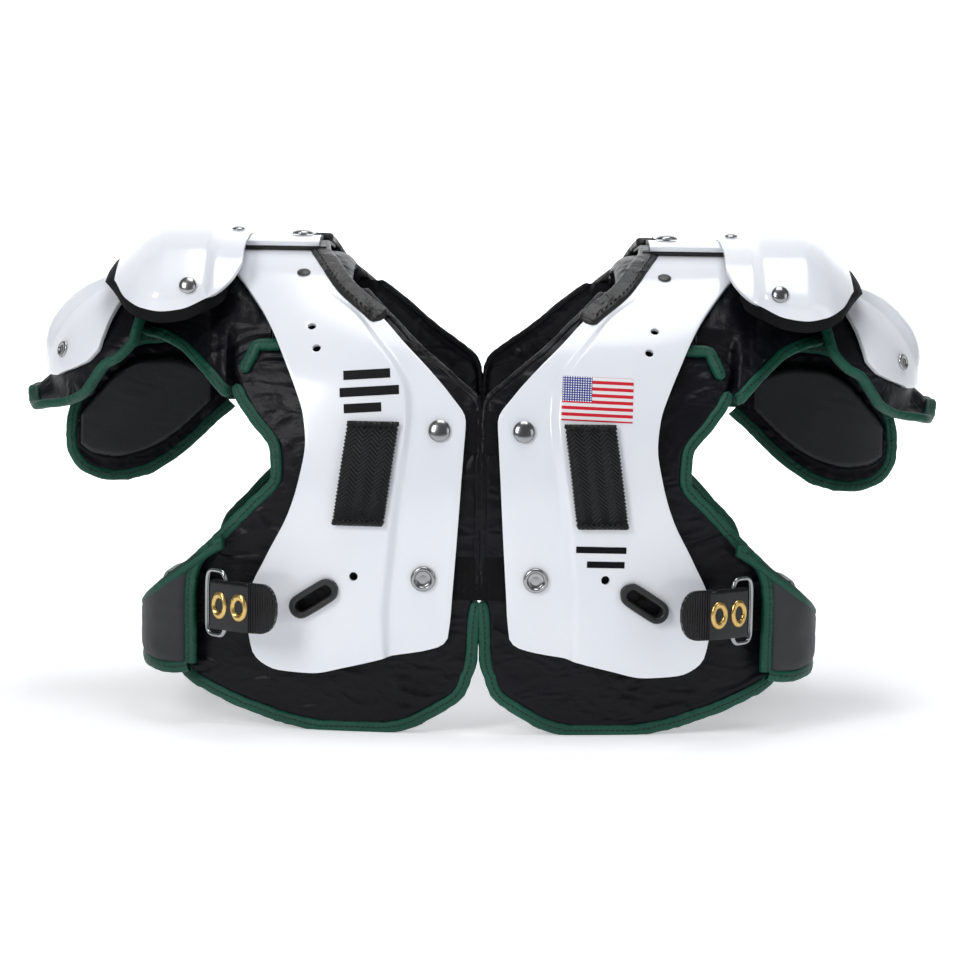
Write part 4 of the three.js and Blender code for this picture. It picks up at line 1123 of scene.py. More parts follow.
@dataclass(frozen=True)
class Cups:
    """The plastic cups over the upper arms."""

    size: CupSize = CUP

    def face(self, u: Array, v: Array) -> Array:
        """Args: u, v: shares down and along. Returns: the cup's outer face."""
        size = self.size
        degrees = size.round[-1] * u
        share = 2 * v - 1
        y = curve(size.round, size.half, degrees) * size.half_length * share
        rise = curve(size.round, size.rise, degrees) * (1 - smooth((np.abs(share) - 0.36) / 0.13))
        return cup_point(degrees, y, rise * size.crown)

    def rivet_at(self) -> Matrix:
        """Returns: the place of the cup's rivet."""
        here = (np.array(74.0), np.array(-0.7 * self.size.half_length))
        return facing(cup_point(*here, 0.0), cup_point(*here, 0.001), ALONG)

    def build(self) -> None:
        """Builds and dresses the cups."""
        bores = [cylinder(PLATE.rivet_bore, 0.02, self.rivet_at())]
        pair(walled("plastic_cup", (44, 60), self.face, self.size.wall, bores), PLASTIC, ["arm_cup"])


# Metal and rubber

RIMMED = ((0, 0.45), (0.3, 0.38), (0.56, 0.34), (0.64, 0.55), (0.70, 0.9), (0.78, 1), (0.93, 0.85), (1, 0.5),
          (1, 0))
"""A head with a raised rim: shares of its radius and of its height."""

GROMMET = tuple((a * 0.0011, z) for a, z in (
    (0, -0.0045), (1, -0.0045), (1, 0.0004), (3.6, 0.0004), (4.0, 0.0012), (4.0, 0.0032), (3.4, 0.0044),
    (1.2, 0.0044), (0.3, 0.0036), (0, 0.0020), (0, -0.0045)))
"""Section of the rubber ring: out from the opening and over the plate."""

GROOVE = (0.011, 0.0016, 0.0024)
"""A screw's slot: length, width and twice its depth."""


@dataclass(frozen=True)
class Fasteners:
    """Rivets, screws and the rubber ring in the strap slot."""

    slot: SlotSize = SLOT

    def pin(self, name: str, size: HeadSize, at: Matrix, slotted: bool = False) -> Piece:
        """A domed head on a shank. Args: name: its name. size: sizes. at: the place. slotted: with a slot.
        Returns: the piece."""
        r, h, s, lift = size.head / 2, size.height, size.shank / 2, size.lift
        if size.rim:
            rows = RIMMED
        else:
            dome = [(math.sin(t), 0.22 + 0.78 * math.cos(t)) for t in np.linspace(0.02, 1.45, 12)]
            rows = ((0, 1), *dome, (1, 0.18), (0.985, 0.02), (0.96, 0))
        shank = ((s, lift), (s, -size.length), (0, -size.length))
        head = turned(name, [*((r * a, lift + h * b) for a, b in rows), *shank])
        if slotted:
            bpy.ops.object.select_all(action="DESELECT")
            bpy.ops.mesh.primitive_cube_add(size=1)
            at_top = Matrix.Translation((0, 0, lift + h))
            groove = placed(bpy.context.object, at_top @ Matrix.Diagonal((*GROOVE, 1)))
            apply(head, "BOOLEAN", object=groove, operation="DIFFERENCE", solver="EXACT")
            bpy.data.objects.remove(groove)
            smoothed(head, 30)
        return placed(head, at)

    def build(self) -> None:
        """Builds and dresses all of them."""
        chest = (HeadSize(0.0145, 0.0036, length=0.0052), HeadSize(0.0162, 0.0026, length=0.0052, rim=True))
        for name, (x, z), size in zip(("upper", "lower"), CHEST_RIVETS, chest):
            at = ARCH.spot(x, z, Side.FRONT, plate_face(x, z))
            pair(self.pin(f"rivet_chest_{name}", size, at), STEEL, [f"chest_rivet_{name}"])
        caps, turn = Caps(), Matrix.Rotation(0.6, 4, "Z")
        face = ARCH.top + ARCH.gap + PLATE.wall + PLATE.lift
        top = Matrix.Translation(Vector((SCREW_ACROSS, 0, face)) + Vector(SHIFT))
        flush = ARCH.spot(*FLUSH_SCREW, Side.FRONT, plate_face(*FLUSH_SCREW)) @ turn
        for name, size, at, finish, nodes in (
            ("rivet_cap", HeadSize(0.0115, 0.0032), caps.rivet_at(), STEEL, ["cap_rivet"]),
            ("rivet_cup", HeadSize(0.0112, 0.0012, rim=True), Cups().rivet_at(), STEEL, ["cup_rivet"]),
            ("screw_arch", HeadSize(0.015, 0.0034, 0.005, 0.010), top, STEEL, ["arch_screw"]),
            ("screw_cap", HeadSize(0.009, 0.002, 0.003, 0.001), caps.screw_at() @ turn, STEEL, []),
            ("screw_plate", HeadSize(0.0088, 0.0012, 0.003, 0.001), flush, DARK_STEEL, []),
        ):
            pair(self.pin(name, size, at, name == "screw_arch"), finish, nodes)
        self.grommet()

    def grommet(self) -> None:
        """Builds and dresses the rubber ring."""
        def place(u: Array, v: Array) -> Array:
            """Args: u, v: shares. Returns: the points there."""
            turn = 2 * math.pi * u
            c, s = np.cos(turn), np.sin(turn)
            share = np.linspace(0, 1, len(GROMMET))
            off, z = (np.interp(v, share, rows) for rows in zip(*GROMMET))
            half, r = (self.slot.open_length - self.slot.open_width) / 2, self.slot.open_width / 2 + off
            return stack(r * c + half * np.tanh(c * 6), r * s, z)

        ring = skin("rubber_slot", (72, 30), place)
        edit(ring, weld, face_outwards)
        lift = plate_face(self.slot.across, self.slot.height)
        at = ARCH.spot(self.slot.across, self.slot.height, Side.FRONT, lift, self.slot.turn)
        pair(smoothed(placed(ring, at), 60), RUBBER, ["slot_grommet"])


# Soft goods


@dataclass(frozen=True)
class BindingSize:
    """Tape folded over a padded edge."""

    width: float = 0.0080
    height: float = 0.0060
    out: float = 0.0024
    step: float = 0.0035


BIND = BindingSize()


def relaxed(rows: Array, reach: int, closed: bool) -> Array:
    """Each row averaged with its neighbours. Args: rows: N by M. reach: how many each way. closed: a loop.
    Returns: N by M."""
    wide = np.pad(rows, ((reach, reach), (0, 0)), mode="wrap" if closed else "edge")
    return sum(wide[k:k + len(rows)] for k in range(2 * reach + 1)) / (2 * reach + 1)


def bind(name: str, rim: Array, inwards: Array, normal: Array, nodes: Sequence[str], closed: bool = False,
         finish: Finish | None = None, size: BindingSize = BIND) -> tuple[Piece, Piece]:
    """Folds tape over a rim, puckered as sewn tape is.

    Args:
        name: the piece's name.
        rim: N by 3 points of the edge.
        inwards: N by 3 points a little inside the edge.
        normal: N by 3 directions through the wall.
        nodes: CAD nodes that it stands for.
        closed: whether the rim is a loop.
        finish: its finish, or the green binding.
        size: the tape's sizes.

    Returns:
        The right and the left piece.
    """
    joined_rows = np.hstack([rim, unit(rim - inwards), normal])
    run = np.linalg.norm(np.diff(rim, axis=0), axis=1)
    count = max(8, int(run.sum() / size.step))
    at = np.concatenate([[0], np.cumsum(run)])
    even = np.linspace(0, at[-1], count + 1)
    rows = np.stack([np.interp(even, at, joined_rows[:, k]) for k in range(9)], axis=-1)
    path, up = relaxed(rows[:, :3], 1, closed), unit(relaxed(rows[:, 6:9], 2, closed))
    out = relaxed(unit(rows[:, 3:6] - up * (rows[:, 3:6] * up).sum(axis=1, keepdims=True)), 3, closed)
    out = unit(out - up * (out * up).sum(axis=1, keepdims=True))
    pucker = ripples(path, 0.006, 1.0)[:, None]
    sway = ripples(path, 0.022, 5.0)[:, None]
    path = path + out * (size.out + 0.0004 * pucker + 0.0004 * sway) + up * 0.0003 * sway
    path[:, 2] = np.maximum(path[:, 2], size.height * 0.45)
    along = unit(np.gradient(path, axis=0))
    out = unit(out - along * (out * along).sum(axis=1, keepdims=True))
    up = unit(np.cross(along, out))
    tape = tube(name, path, out, up, (size.width, size.height), closed, 0.7, 16)
    co = coordinates(tape)
    co += 0.0006 * ripples(co, 0.0045, 9.0)[:, None] * unit(co - co.mean(axis=0))
    co[:, 2] = np.maximum(co[:, 2], 0.0)
    move_to(tape, co)
    return pair(tape, finish or BINDING, nodes)


ALL_ROUND = ((0, 0), (1, 0), (1, 1), (0, 1), (0, 0))


def through(rim: Place) -> Place:
    """Args: rim: a skin. Returns: the way through it for u and v."""
    def normal(u: Array, v: Array) -> Array:
        """Args: u, v: shares. Returns: the ways through the wall."""
        e = 1e-3
        du = rim(np.minimum(u + e, 1), v) - rim(np.maximum(u - e, 0), v)
        dv = rim(u, np.minimum(v + e, 1)) - rim(u, np.maximum(v - e, 0))
        return unit(np.cross(du, dv))

    return normal


def strips(rim: Place, corners: Sequence[tuple[float, float]], inset: float,
           normal: Place) -> tuple[Array, Array, Array]:
    """Points round a skin's edge.

    Args:
        rim: the skin between both faces.
        corners: (u, v) of the points that straight stretches join.
        inset: share to step inside.
        normal: the way through the wall for u and v.

    Returns:
        Edge points, points inside them and directions.
    """
    stretches = [np.linspace(a, b, 80)[:-1] for a, b in zip(corners, corners[1:])]
    u, v = np.concatenate([*stretches, corners[-1:]]).T
    iu, iv = np.clip(u, inset, 1 - inset), np.clip(v, inset, 1 - inset)
    return rim(u, v), rim(iu, iv), normal(u, v)


@dataclass(frozen=True)
class BodyPadSize:
    """The padded body under a plate. The tables are rows of down, inner, back inner and outer."""

    wall: float = 0.016
    rim: float = 0.004
    shoulder: float = 0.026
    seam: float = 0.003
    puckered: float = 0.016
    pucker: tuple[float, float] = (0.0011, 0.0085)
    sag: tuple[float, float] = (0.0012, 0.035)
    span: float = 0.160
    down: Row = (0.205, 0.225, 0.285, 0.337, 0.366, 0.385, 0.42, 0.454, 0.49, 0.535, 0.583, 0.625,
                               0.68, 0.745, 0.81, 0.87, 0.915, 0.955, 0.98)
    inner: Row = (0.5, 0.478, 0.385, 0.29, 0.225, 0.18, 0.09, 0.014, 0.012, 0.012, 0.012, 0.012,
                                0.013, 0.014, 0.036, 0.041, 0.042, 0.070, 0.26)
    back_inner: Row = (0.475, 0.44, 0.335, 0.235, 0.165, 0.115, 0.032, 0.014, 0.012, 0.012, 0.012,
                                     0.012, 0.012, 0.012, 0.012, 0.02, 0.05, 0.13, 0.34)
    outer: Row = (0.83, 0.83, 0.835, 0.84, 0.985, 1.02, 1.0, 0.965, 0.905, 0.82, 0.812, 0.9, 1.03,
                                1.16, 1.18, 1.21, 1.2, 0.95, 0.73)
    start: float = 0.86
    straight: float = 0.82
    foot_share: Row = (0.0, 0.04, 0.12, 0.24, 0.40, 0.56, 0.71, 0.87, 0.96, 1.0)
    foot_across: Row = (0.041, 0.066, 0.176, 0.316, 0.516, 0.715, 0.91, 1.10, 1.19, 1.212)
    foot_down: Row = (0.878, 0.918, 0.954, 0.982, 0.992, 0.9816, 0.9606, 0.93, 0.908, 0.884)


PAD = BodyPadSize()


@dataclass(frozen=True)
class BodyPads:
    """The padded nylon body under each plate, with its bound edge."""

    size: BodyPadSize = PAD

    def sides(self, side: Side, down: Array) -> tuple[Array, Array]:
        """Args: side, down: where. Returns: inner and outer x."""
        size = self.size
        inner = size.back_inner if side is Side.BACK else size.inner
        return tuple(curve(size.down, rows, down) * size.span for rows in (inner, size.outer))

    def spot(self, side: Side, u: Array, v: Array) -> tuple[Array, Array, Array, Array]:
        """Args: side, u, v: where. Returns: across, down and the distances to the sides and to the ends."""
        size = self.size
        first, run = size.down[0], ARCH.spring / (1 - ARCH.turn)
        share = 0.5 - 0.5 * np.cos(math.pi * u)
        row = np.interp(v, (0, size.straight, 1), (first, size.start, size.start))
        past = np.clip((v - size.straight) / (1 - size.straight), 0, 1)
        foot_x, foot_down = (curve(size.foot_share, rows, share)
                             for rows in (size.foot_across, size.foot_down))
        a, b = self.sides(side, row)
        x = mix(mix(a, b, share), foot_x * size.span, past)
        down = mix(row, foot_down, past)
        return x, down, to_ends(share) * (b - a), np.minimum(down - first, foot_down - down) * run

    def share_at(self, down: float) -> float:
        """Args: down: above the foot. Returns: the share along the pad."""
        size = self.size
        return size.straight * (down - size.down[0]) / (size.start - size.down[0])

    def skin_at(self, side: Side, face: float) -> Place:
        """Args: side: which. face: 1 for the outer face, 0 rim, -1 inner face. Returns: the skin."""
        size = self.size
        def place(u: Array, v: Array) -> Array:
            """Args: u, v: shares. Returns: the points there."""
            x, down, to_edge, to_end = self.spot(side, u, v)
            near_rim = np.minimum(to_edge, to_end)
            half = (size.rim + (size.wall - size.rim) * rounded(near_rim / size.shoulder)) / 2
            lift = -ARCH.gap - half + face * half * rounded(near_rim / size.seam)
            points = ARCH.at(x, down, side, lift)
            if face:
                near = np.exp(-near_rim / size.puckered) * np.clip(near_rim / size.seam, 0, 1)
                pucker = ripples(points * np.array((1, 1, 1.6)), size.pucker[1], 2.0 + side.value)
                broad = ripples(points, size.sag[1], 7.0 + side.value)
                hidden = 0.0003 if face > 0 else 0.0
                deep = size.sag[0] + hidden
                sink = -size.pucker[0] * near * np.abs(pucker) - deep * (1 - near) * np.abs(broad)
                points = points + ARCH.normal(x, down, side) * (face * sink)[:, None]
            return points

        return place

    def build(self) -> None:
        """Builds and dresses the pads."""
        for side, stem in ((Side.FRONT, "front_pad"), (Side.BACK, "back_pad")):
            body = pillow(f"padded_{stem}", (60, 110), self.skin_at(side, 1.0), self.skin_at(side, -1.0))
            pair(body, NYLON, [stem])
            low, high = self.share_at(0.425), self.share_at(0.775)

            def normal(u: Array, v: Array) -> Array:
                """Args: u, v: shares. Returns: the ways through the wall."""
                return ARCH.normal(*self.spot(side, u, v)[:2], side)

            rim = self.skin_at(side, 0.0)
            path = strips(rim, [(1, low), (1, 1), (0, 1), (0, high)], 0.02, normal)
            bind(f"bound_{stem}", *path, [f"{stem}_binding"])
            self.shelf(side, stem)
            neck = strips(rim, [(0, 0.0), (0, high)], 0.02, normal)
            piping = BindingSize(0.005, 0.0045, 0.0002, 0.0035)
            bind(f"piping_{stem}", *neck, [], False, NYLON, piping)

    def shelf(self, side: Side, stem: str) -> None:
        """Binds the pad's shelf, which shows beside the plate. Args: side: which. stem: its name."""
        t = np.linspace(0, 1, 60)
        x = mix(0.118, 0.151, smooth(t * 1.6)) + 0.007 * smooth((t - 0.6) / 0.4)
        down = mix(0.345, 0.352, smooth(t / 0.6)) + 0.062 * np.clip((t - 0.56) / 0.44, 0, 1)
        path = ARCH.at(x, down, side, 0.0008 + 0 * x)
        up = ARCH.normal(x, down, side)
        along = unit(np.gradient(path, axis=0))
        bind(f"shelf_{stem}", path, path - unit(np.cross(along, up)), up, [])


@dataclass(frozen=True)
class LinerSize:
    """The quilted layer over the shoulder. The tables are rows of across, crest, reach, fall and end."""

    span: float = 0.236
    wall: float = 0.008
    tuck: float = 0.009
    quilts: float = 3.2
    crease: tuple[float, float] = (0.0014, 0.012)
    across: Row = (0.373, 0.435, 0.578, 0.592, 0.66, 0.70, 0.75, 0.785, 0.835, 0.885, 0.93, 0.965)
    crest: Row = (0.985, 1.0, 1.0, 1.0, 1.0, 1.0, 1.0, 0.995, 0.98, 0.95, 0.913, 0.872)
    reach: Row = (1.0, 1.0, 1.0, 1.0, 1.0, 1.0, 1.0, 0.93, 0.83, 0.79, 0.75, 0.71)
    fall: Row = (0.77, 1.0, 1.0, 1.0, 1.0, 1.0, 1.0, 1.04, 1.08, 1.03, 0.93, 0.75)
    end: Row = (29.2, 29.2, 29.2, 56.0, 60.0, 63.0, 58.5, 53.7, 46.5, 40.0, 33.0, 24.0)


LINER = LinerSize()


@dataclass(frozen=True)
class Liners:
    """The quilted nylon over each shoulder, bound at the arm."""

    size: LinerSize = LINER

    def place(self, face: float) -> Place:
        """Args: face: 1 outer, 0 rim, -1 inner. Returns: the skin."""
        size = self.size
        def at(u: Array, v: Array) -> Array:
            """Args: u, v: shares. Returns: the points there."""
            across = mix(size.across[0], size.across[-1], u)
            x = across * size.span
            crest, reach, fall, end = (curve(size.across, rows, across)
                                       for rows in (size.crest, size.reach, size.fall, size.end))
            share = 2 * v - 1
            angle = np.radians(end) * share
            edge = np.minimum(to_ends(u) / 0.05, (1 - np.abs(share)) / 0.07)
            full = rounded(edge)
            quilt = 1 - 0.35 * np.exp(-((np.abs(np.mod(u * size.quilts, 1) - 0.5) - 0.5) ** 2) / 0.004)
            tuck = size.tuck * smooth((np.degrees(np.abs(angle)) - 44) / 7)
            tuck = tuck * (1 - smooth((across - 0.685) / 0.03))
            depth = ARCH.gap + size.wall / 2 + tuck
            depth = depth - face * full * (size.wall / 2) * (quilt if face > 0 else 1)
            r = reach * ARCH.depth(x) - depth
            f = fall * (ARCH.top - ARCH.spring) - depth
            c = crest * ARCH.top - depth
            points = stack(x, -r * np.sin(angle), c - f * (1 - np.cos(angle))) + SHIFT
            if face:
                crease = np.abs(ripples(points * np.array((2, 1, 1)), size.crease[1], 4.0))
                points[:, 2] -= size.crease[0] * full * crease
            return points

        return at

    def build(self) -> None:
        """Builds and dresses the liners."""
        size = self.size
        body = pillow("padded_liner", (70, 80), self.place(1.0), self.place(-1.0))
        pair(body, NYLON, ["shoulder_liner"])
        start = (0.695 - size.across[0]) / (size.across[-1] - size.across[0])
        rim = self.place(0.0)
        path = strips(rim, [(start, 1), (1, 1), (1, 0), (start, 0)], 0.03, through(rim))
        bind("bound_liner", *path, ["liner_binding"])


@dataclass(frozen=True)
class LobeSize:
    """The flap behind the upper arm. The tables are rows of across, foot and top."""

    span: float = 0.118
    inner: float = 0.174
    height: float = 0.100
    foot: float = 0.1485
    rim: float = 0.005
    raised: float = 0.010
    near: float = 0.052
    bow: float = 0.022
    seam: float = 0.004
    cushion_inset: float = 0.0085
    cushion_slope: float = 0.006
    lean: float = 0.1
    across: Row = (0.05, 0.12, 0.24, 0.4, 0.56, 0.68, 0.82, 0.9, 0.95)
    low: Row = (0.50, 0.43, 0.29, 0.13, 0.03, 0.0, 0.02, 0.08, 0.17)
    high: Row = (0.66, 0.76, 0.87, 0.92, 0.91, 0.84, 0.66, 0.54, 0.42)


LOBE = LobeSize()


@dataclass(frozen=True)
class Lobes:
    """The padded lobes behind the arm holes, with a smooth charcoal cushion on the front."""

    size: LobeSize = LOBE

    def place(self, face: float, plateau: float = 0.0) -> Place:
        """Args: face: 1 front, 0 rim, -1 back. plateau: how much of the cushion. Returns: the skin."""
        size = self.size
        def at(u: Array, v: Array) -> Array:
            """Args: u, v: shares. Returns: the points there."""
            across = mix(size.across[0], size.across[-1], u)
            low, high = (curve(size.across, rows, across) * size.height for rows in (size.low, size.high))
            height = mix(low, high, v)
            x = size.inner + across * size.span
            y = size.near - size.bow * across**1.5 + size.lean * height
            reach = high - low
            to_edge = np.minimum(to_ends(v) * reach, to_ends(u) * size.span * 0.9)
            full = rounded(to_edge / size.seam)
            inset = np.minimum(to_ends(v) * reach, np.minimum(u, 2.4 * (1 - u)) * size.span * 0.9)
            raised = size.raised * smooth((inset - size.cushion_inset) / size.cushion_slope) * plateau
            points = stack(x, y - size.rim / 2, size.foot + height) + SHIFT
            points[:, 1] -= face * full * size.rim / 2 + raised
            if face:
                near = np.exp(-((to_edge - 0.006) ** 2) / 0.00002)
                points[:, 1] += face * 0.0009 * near * np.abs(ripples(points, 0.006, 3.0))
                points[:, 1] += 0.0007 * full * np.abs(ripples(points, 0.03, 8.0)) * (face > 0)
            return points

        return at

    def build(self) -> None:
        """Builds and dresses the lobes."""
        size = self.size
        body = pillow("padded_lobe", (60, 56), self.place(1.0, 0.86), self.place(-1.0, 0.0))
        right, left = pair(body, NYLON, ["arm_lobe"])
        for piece in (right, left):
            piece.data.materials.append(FOAM.material())
            for face in piece.data.polygons:
                x, y, z = face.center - Vector(SHIFT)
                share = (abs(x) - size.inner) / size.span
                expected = size.near - size.bow * max(share, 0) ** 1.5 + size.lean * (z - size.foot)
                if expected - y > size.rim + 0.0048 and face.normal.y < 0.2:
                    face.material_index = 1
        rim = self.place(0.0)

        def normal(u: Array, v: Array) -> Array:
            """Args: u, v: shares. Returns: the ways through the wall."""
            return np.broadcast_to(np.array((0.0, -1.0, 0.1)), (len(u), 3))

        path = strips(rim, ALL_ROUND, 0.04, normal)
        bind("bound_lobe", *path, ["lobe_binding"], True)


FLAP_CREST = 0.88  # share of the flap that follows the cup
FLAP_HANG = 0.012
FLAP_DROP = 0.018
FLAP = (0.4, 0.6, 0.82, 0.95, 1.0, 0.95, 0.8, 0.62)  # half lengths of the flap, as CUP.half


@dataclass(frozen=True)
class CupPads:
    """The padded flaps under the arm cups."""

    size: CupSize = CUP
    flap: Row = FLAP

    def place(self, face: float) -> Place:
        """Args: face: 1 outer, 0 rim, -1 inner. Returns: the skin."""
        size = self.size
        def at(u: Array, v: Array) -> Array:
            """Args: u, v: shares. Returns: the points there."""
            degrees = np.minimum(u / FLAP_CREST, 1) * size.round[-1]
            further = np.clip((u - FLAP_CREST) / (1 - FLAP_CREST), 0, 1)
            half = mix(curve(size.round, self.flap, degrees), 0.42, further) * size.half_length
            share = 2 * v - 1
            beyond = FLAP_HANG * np.sign(share) * smooth((np.abs(share) - 0.7) / 0.3)
            beyond = beyond * mix(0.3, 1, smooth(degrees / 20))
            edge = np.minimum(to_ends(u) / 0.06, (1 - np.abs(share)) / 0.09)
            full = rounded(edge)
            thick = mix(0.004, 0.011, full)
            lift = -size.wall - 0.001 - thick / 2 + face * thick / 2 * np.sqrt(np.clip(edge * 3, 0, 1))
            side = smooth((np.abs(share) - 0.35) / 0.6)
            drop = FLAP_DROP * smooth((degrees - 70) / 18) * side
            points = cup_point(degrees, half * share, lift, beyond, 0.003 * further + drop)
            points[:, 2] -= FLAP_HANG * further * (1 - np.abs(share))
            points += (side * (1 - smooth((degrees - 34) / 28)))[:, None] * np.array((-0.013, 0.0, 0.004))
            points[:, 0] += FLAP_HANG * further
            if face:
                middle = points.mean(axis=0)
                pucker = 0.0011 * full * np.abs(ripples(points, 0.012, 6.0))
                points -= unit(points - middle) * face * pucker[:, None]
            return points

        return at

    def build(self) -> None:
        """Builds and dresses the flaps."""
        body = pillow("padded_cup", (56, 56), self.place(1.0), self.place(-1.0))
        pair(body, NYLON, ["cup_pad"])
        rim = self.place(0.0)
        path = strips(rim, [(0.1, 1), (1, 1), (1, 0), (0.1, 0)], 0.04, through(rim))
        bind("bound_cup", *path, ["cup_pad_binding"])


@dataclass(frozen=True)
class WingSize:
    """The side flap. plan: rows of along, out and forward. gone, top, foot: its outline."""

    wall: float = 0.008
    height: float = 0.124
    reach: float = 0.223
    bend: float = 9.0
    front_top: float = 0.09
    front_foot: float = 0.215
    back_top: float = 0.18
    high: float = 0.56
    seam: float = 0.008
    crease: tuple[float, float] = (0.0009, 0.016)
    along: Row = (0.0, 0.07, 0.137, 0.208, 0.276, 0.353, 0.45, 0.588, 0.788, 1.0)
    out: Row = (0.673, 0.731, 0.786, 0.844, 0.899, 0.946, 0.978, 0.993, 1.0, 1.0)
    forward: Row = (0.967, 0.947, 0.923, 0.898, 0.871, 0.807, 0.693, 0.52, 0.267, 0.0)
    gone: Row = (0.0, 0.07, 0.16, 0.3, 0.48, 0.72, 1.0)
    top: Row = (0.985, 0.93, 0.83, 0.7, 0.6, 0.54, 0.52)
    foot: Row = (0.335, 0.33, 0.335, 0.345, 0.35, 0.355, 0.355)


WING = WingSize()


@dataclass(frozen=True)
class Wings:
    """The side flaps of the body pad, folded round the ribs."""

    size: WingSize = WING

    def plan(self, share: Array, inset: Array) -> Array:
        """Args: share: 0 at the front to 2 at the back. inset: inwards. Returns: N by 2 of x and y."""
        size = self.size
        def at(s: Array) -> Array:
            """Args: s: share. Returns: x and y there."""
            t = np.where(s > 1, 2 - s, s)
            side = np.where(s > 1, 1.0, -1.0)
            x = curve(size.along, size.out, t) * size.reach
            return np.stack([x, side * curve(size.along, size.forward, t) * ARCH.half_depth], axis=-1)

        e = 0.01
        way = unit(at(share + e) - at(share - e))
        return at(share) + np.stack([-way[:, 1], way[:, 0]], axis=-1) * np.asarray(inset)[..., None]

    def place(self, face: float) -> Place:
        """Args: face: 1 outer, 0 rim, -1 inner. Returns: the skin."""
        size = self.size
        def at(u: Array, v: Array) -> Array:
            """Args: u, v: shares. Returns: the points there."""
            gone = 2 * u
            t = np.where(gone > 1, 2 - gone, gone)
            top = curve(size.gone, size.top, t)
            top = np.where(gone > 1, np.minimum(top, size.high), top)
            foot = curve(size.gone, size.foot, t)
            tip = np.where(gone > 1, size.back_top, size.front_top)
            start = mix(size.front_foot, tip, v**size.bend)
            along = np.where(gone < 1, mix(start, 1, gone), 2 - mix(start, 1, 2 - gone))
            z = mix(foot, top, v) * size.height
            tall = (top - foot) * size.height
            edge = np.minimum(to_ends(v) * tall, to_ends(u) * 0.3) / size.seam
            full = rounded(edge)
            half = mix(0.0002, size.wall, full) / 2
            flat = self.plan(along, -face * half)
            points = stack(flat[:, 0], flat[:, 1], z) + SHIFT
            if face:
                crease = np.abs(ripples(points * np.array((1, 1, 1.4)), size.crease[1], 5.0 + face))
                pull = size.crease[0] * full * crease
                points[:, :2] -= unit(points[:, :2]) * (face * pull)[:, None]
            return points

        return at

    def build(self) -> None:
        """Builds and dresses the wings."""
        body = pillow("padded_wing", (150, 34), self.place(1.0), self.place(-1.0))
        pair(body, FOAM, ["side_wing"])
        rim = self.place(0.0)

        def normal(u: Array, v: Array) -> Array:
            """Args: u, v: shares. Returns: the ways through the wall."""
            inside = np.clip(u, 0.03, 0.97), np.clip(v, 0.2, 0.8)
            return unit(self.place(1.0)(*inside) - self.place(-1.0)(*inside))

        path = strips(rim, ALL_ROUND, 0.03, normal)
        bind("bound_wing", *path, ["wing_binding"], True)


# Straps, belt and trim


@dataclass(frozen=True)
class GuardSize:
    """The leather fold round the neck edge and the black sheet that fills the gap between the plates."""

    nose: float = 0.0056
    cover: float = 0.0086
    height: float = 0.0064
    start: float = 0.03
    end: float = 0.305
    gap_sheet: float = 0.0025
    overhang: float = 0.005
    stitch_inset: float = 0.0028
    stitch_lift: float = 0.0027


@dataclass(frozen=True)
class WebbingSize:
    """The webbing on the plate, in the belt and behind the plates."""

    width: float = 0.032
    wall: float = 0.002
    length: float = 0.0635
    lean: float = 0.009
    across: float = 0.073
    height: float = 0.1678
    strap_width: float = 0.028
    strap_reach: float = 0.046
    belt_height: float = 0.084
    belt_along: Row = (0.148, 0.212, 0.276, 0.32)
    belt_inset: Row = (0.0064, 0.0094, 0.0063, 0.0055)


@dataclass(frozen=True)
class RingSize:
    """The wire ring of the belt and the tab that hangs from it."""

    height: float = 0.042
    width: float = 0.017
    wire: float = 0.003
    tab_wall: float = 0.0036
    out: Row = (0.731, 0.697, 0.662, 0.622)
    forward: Row = (1.035, 1.08, 1.118, 1.143)


EYELET = ((0.0043, -0.003), (0.0043, 0.0002), (0.0050, 0.0011), (0.0066, 0.0018), (0.0083, 0.0013),
          (0.0090, 0.0004), (0.0090, -0.0004), (0.0060, -0.0008), (0.0043, -0.003))
"""Section of an eyelet: radius and height."""

EYELET_CORE = ((0, -0.0006), (0.0044, -0.0006), (0.0044, -0.0016), (0, -0.0016))
"""The dark cloth inside an eyelet: radius and height."""

GUARD = GuardSize()
WEB = WebbingSize()
RING = RingSize()


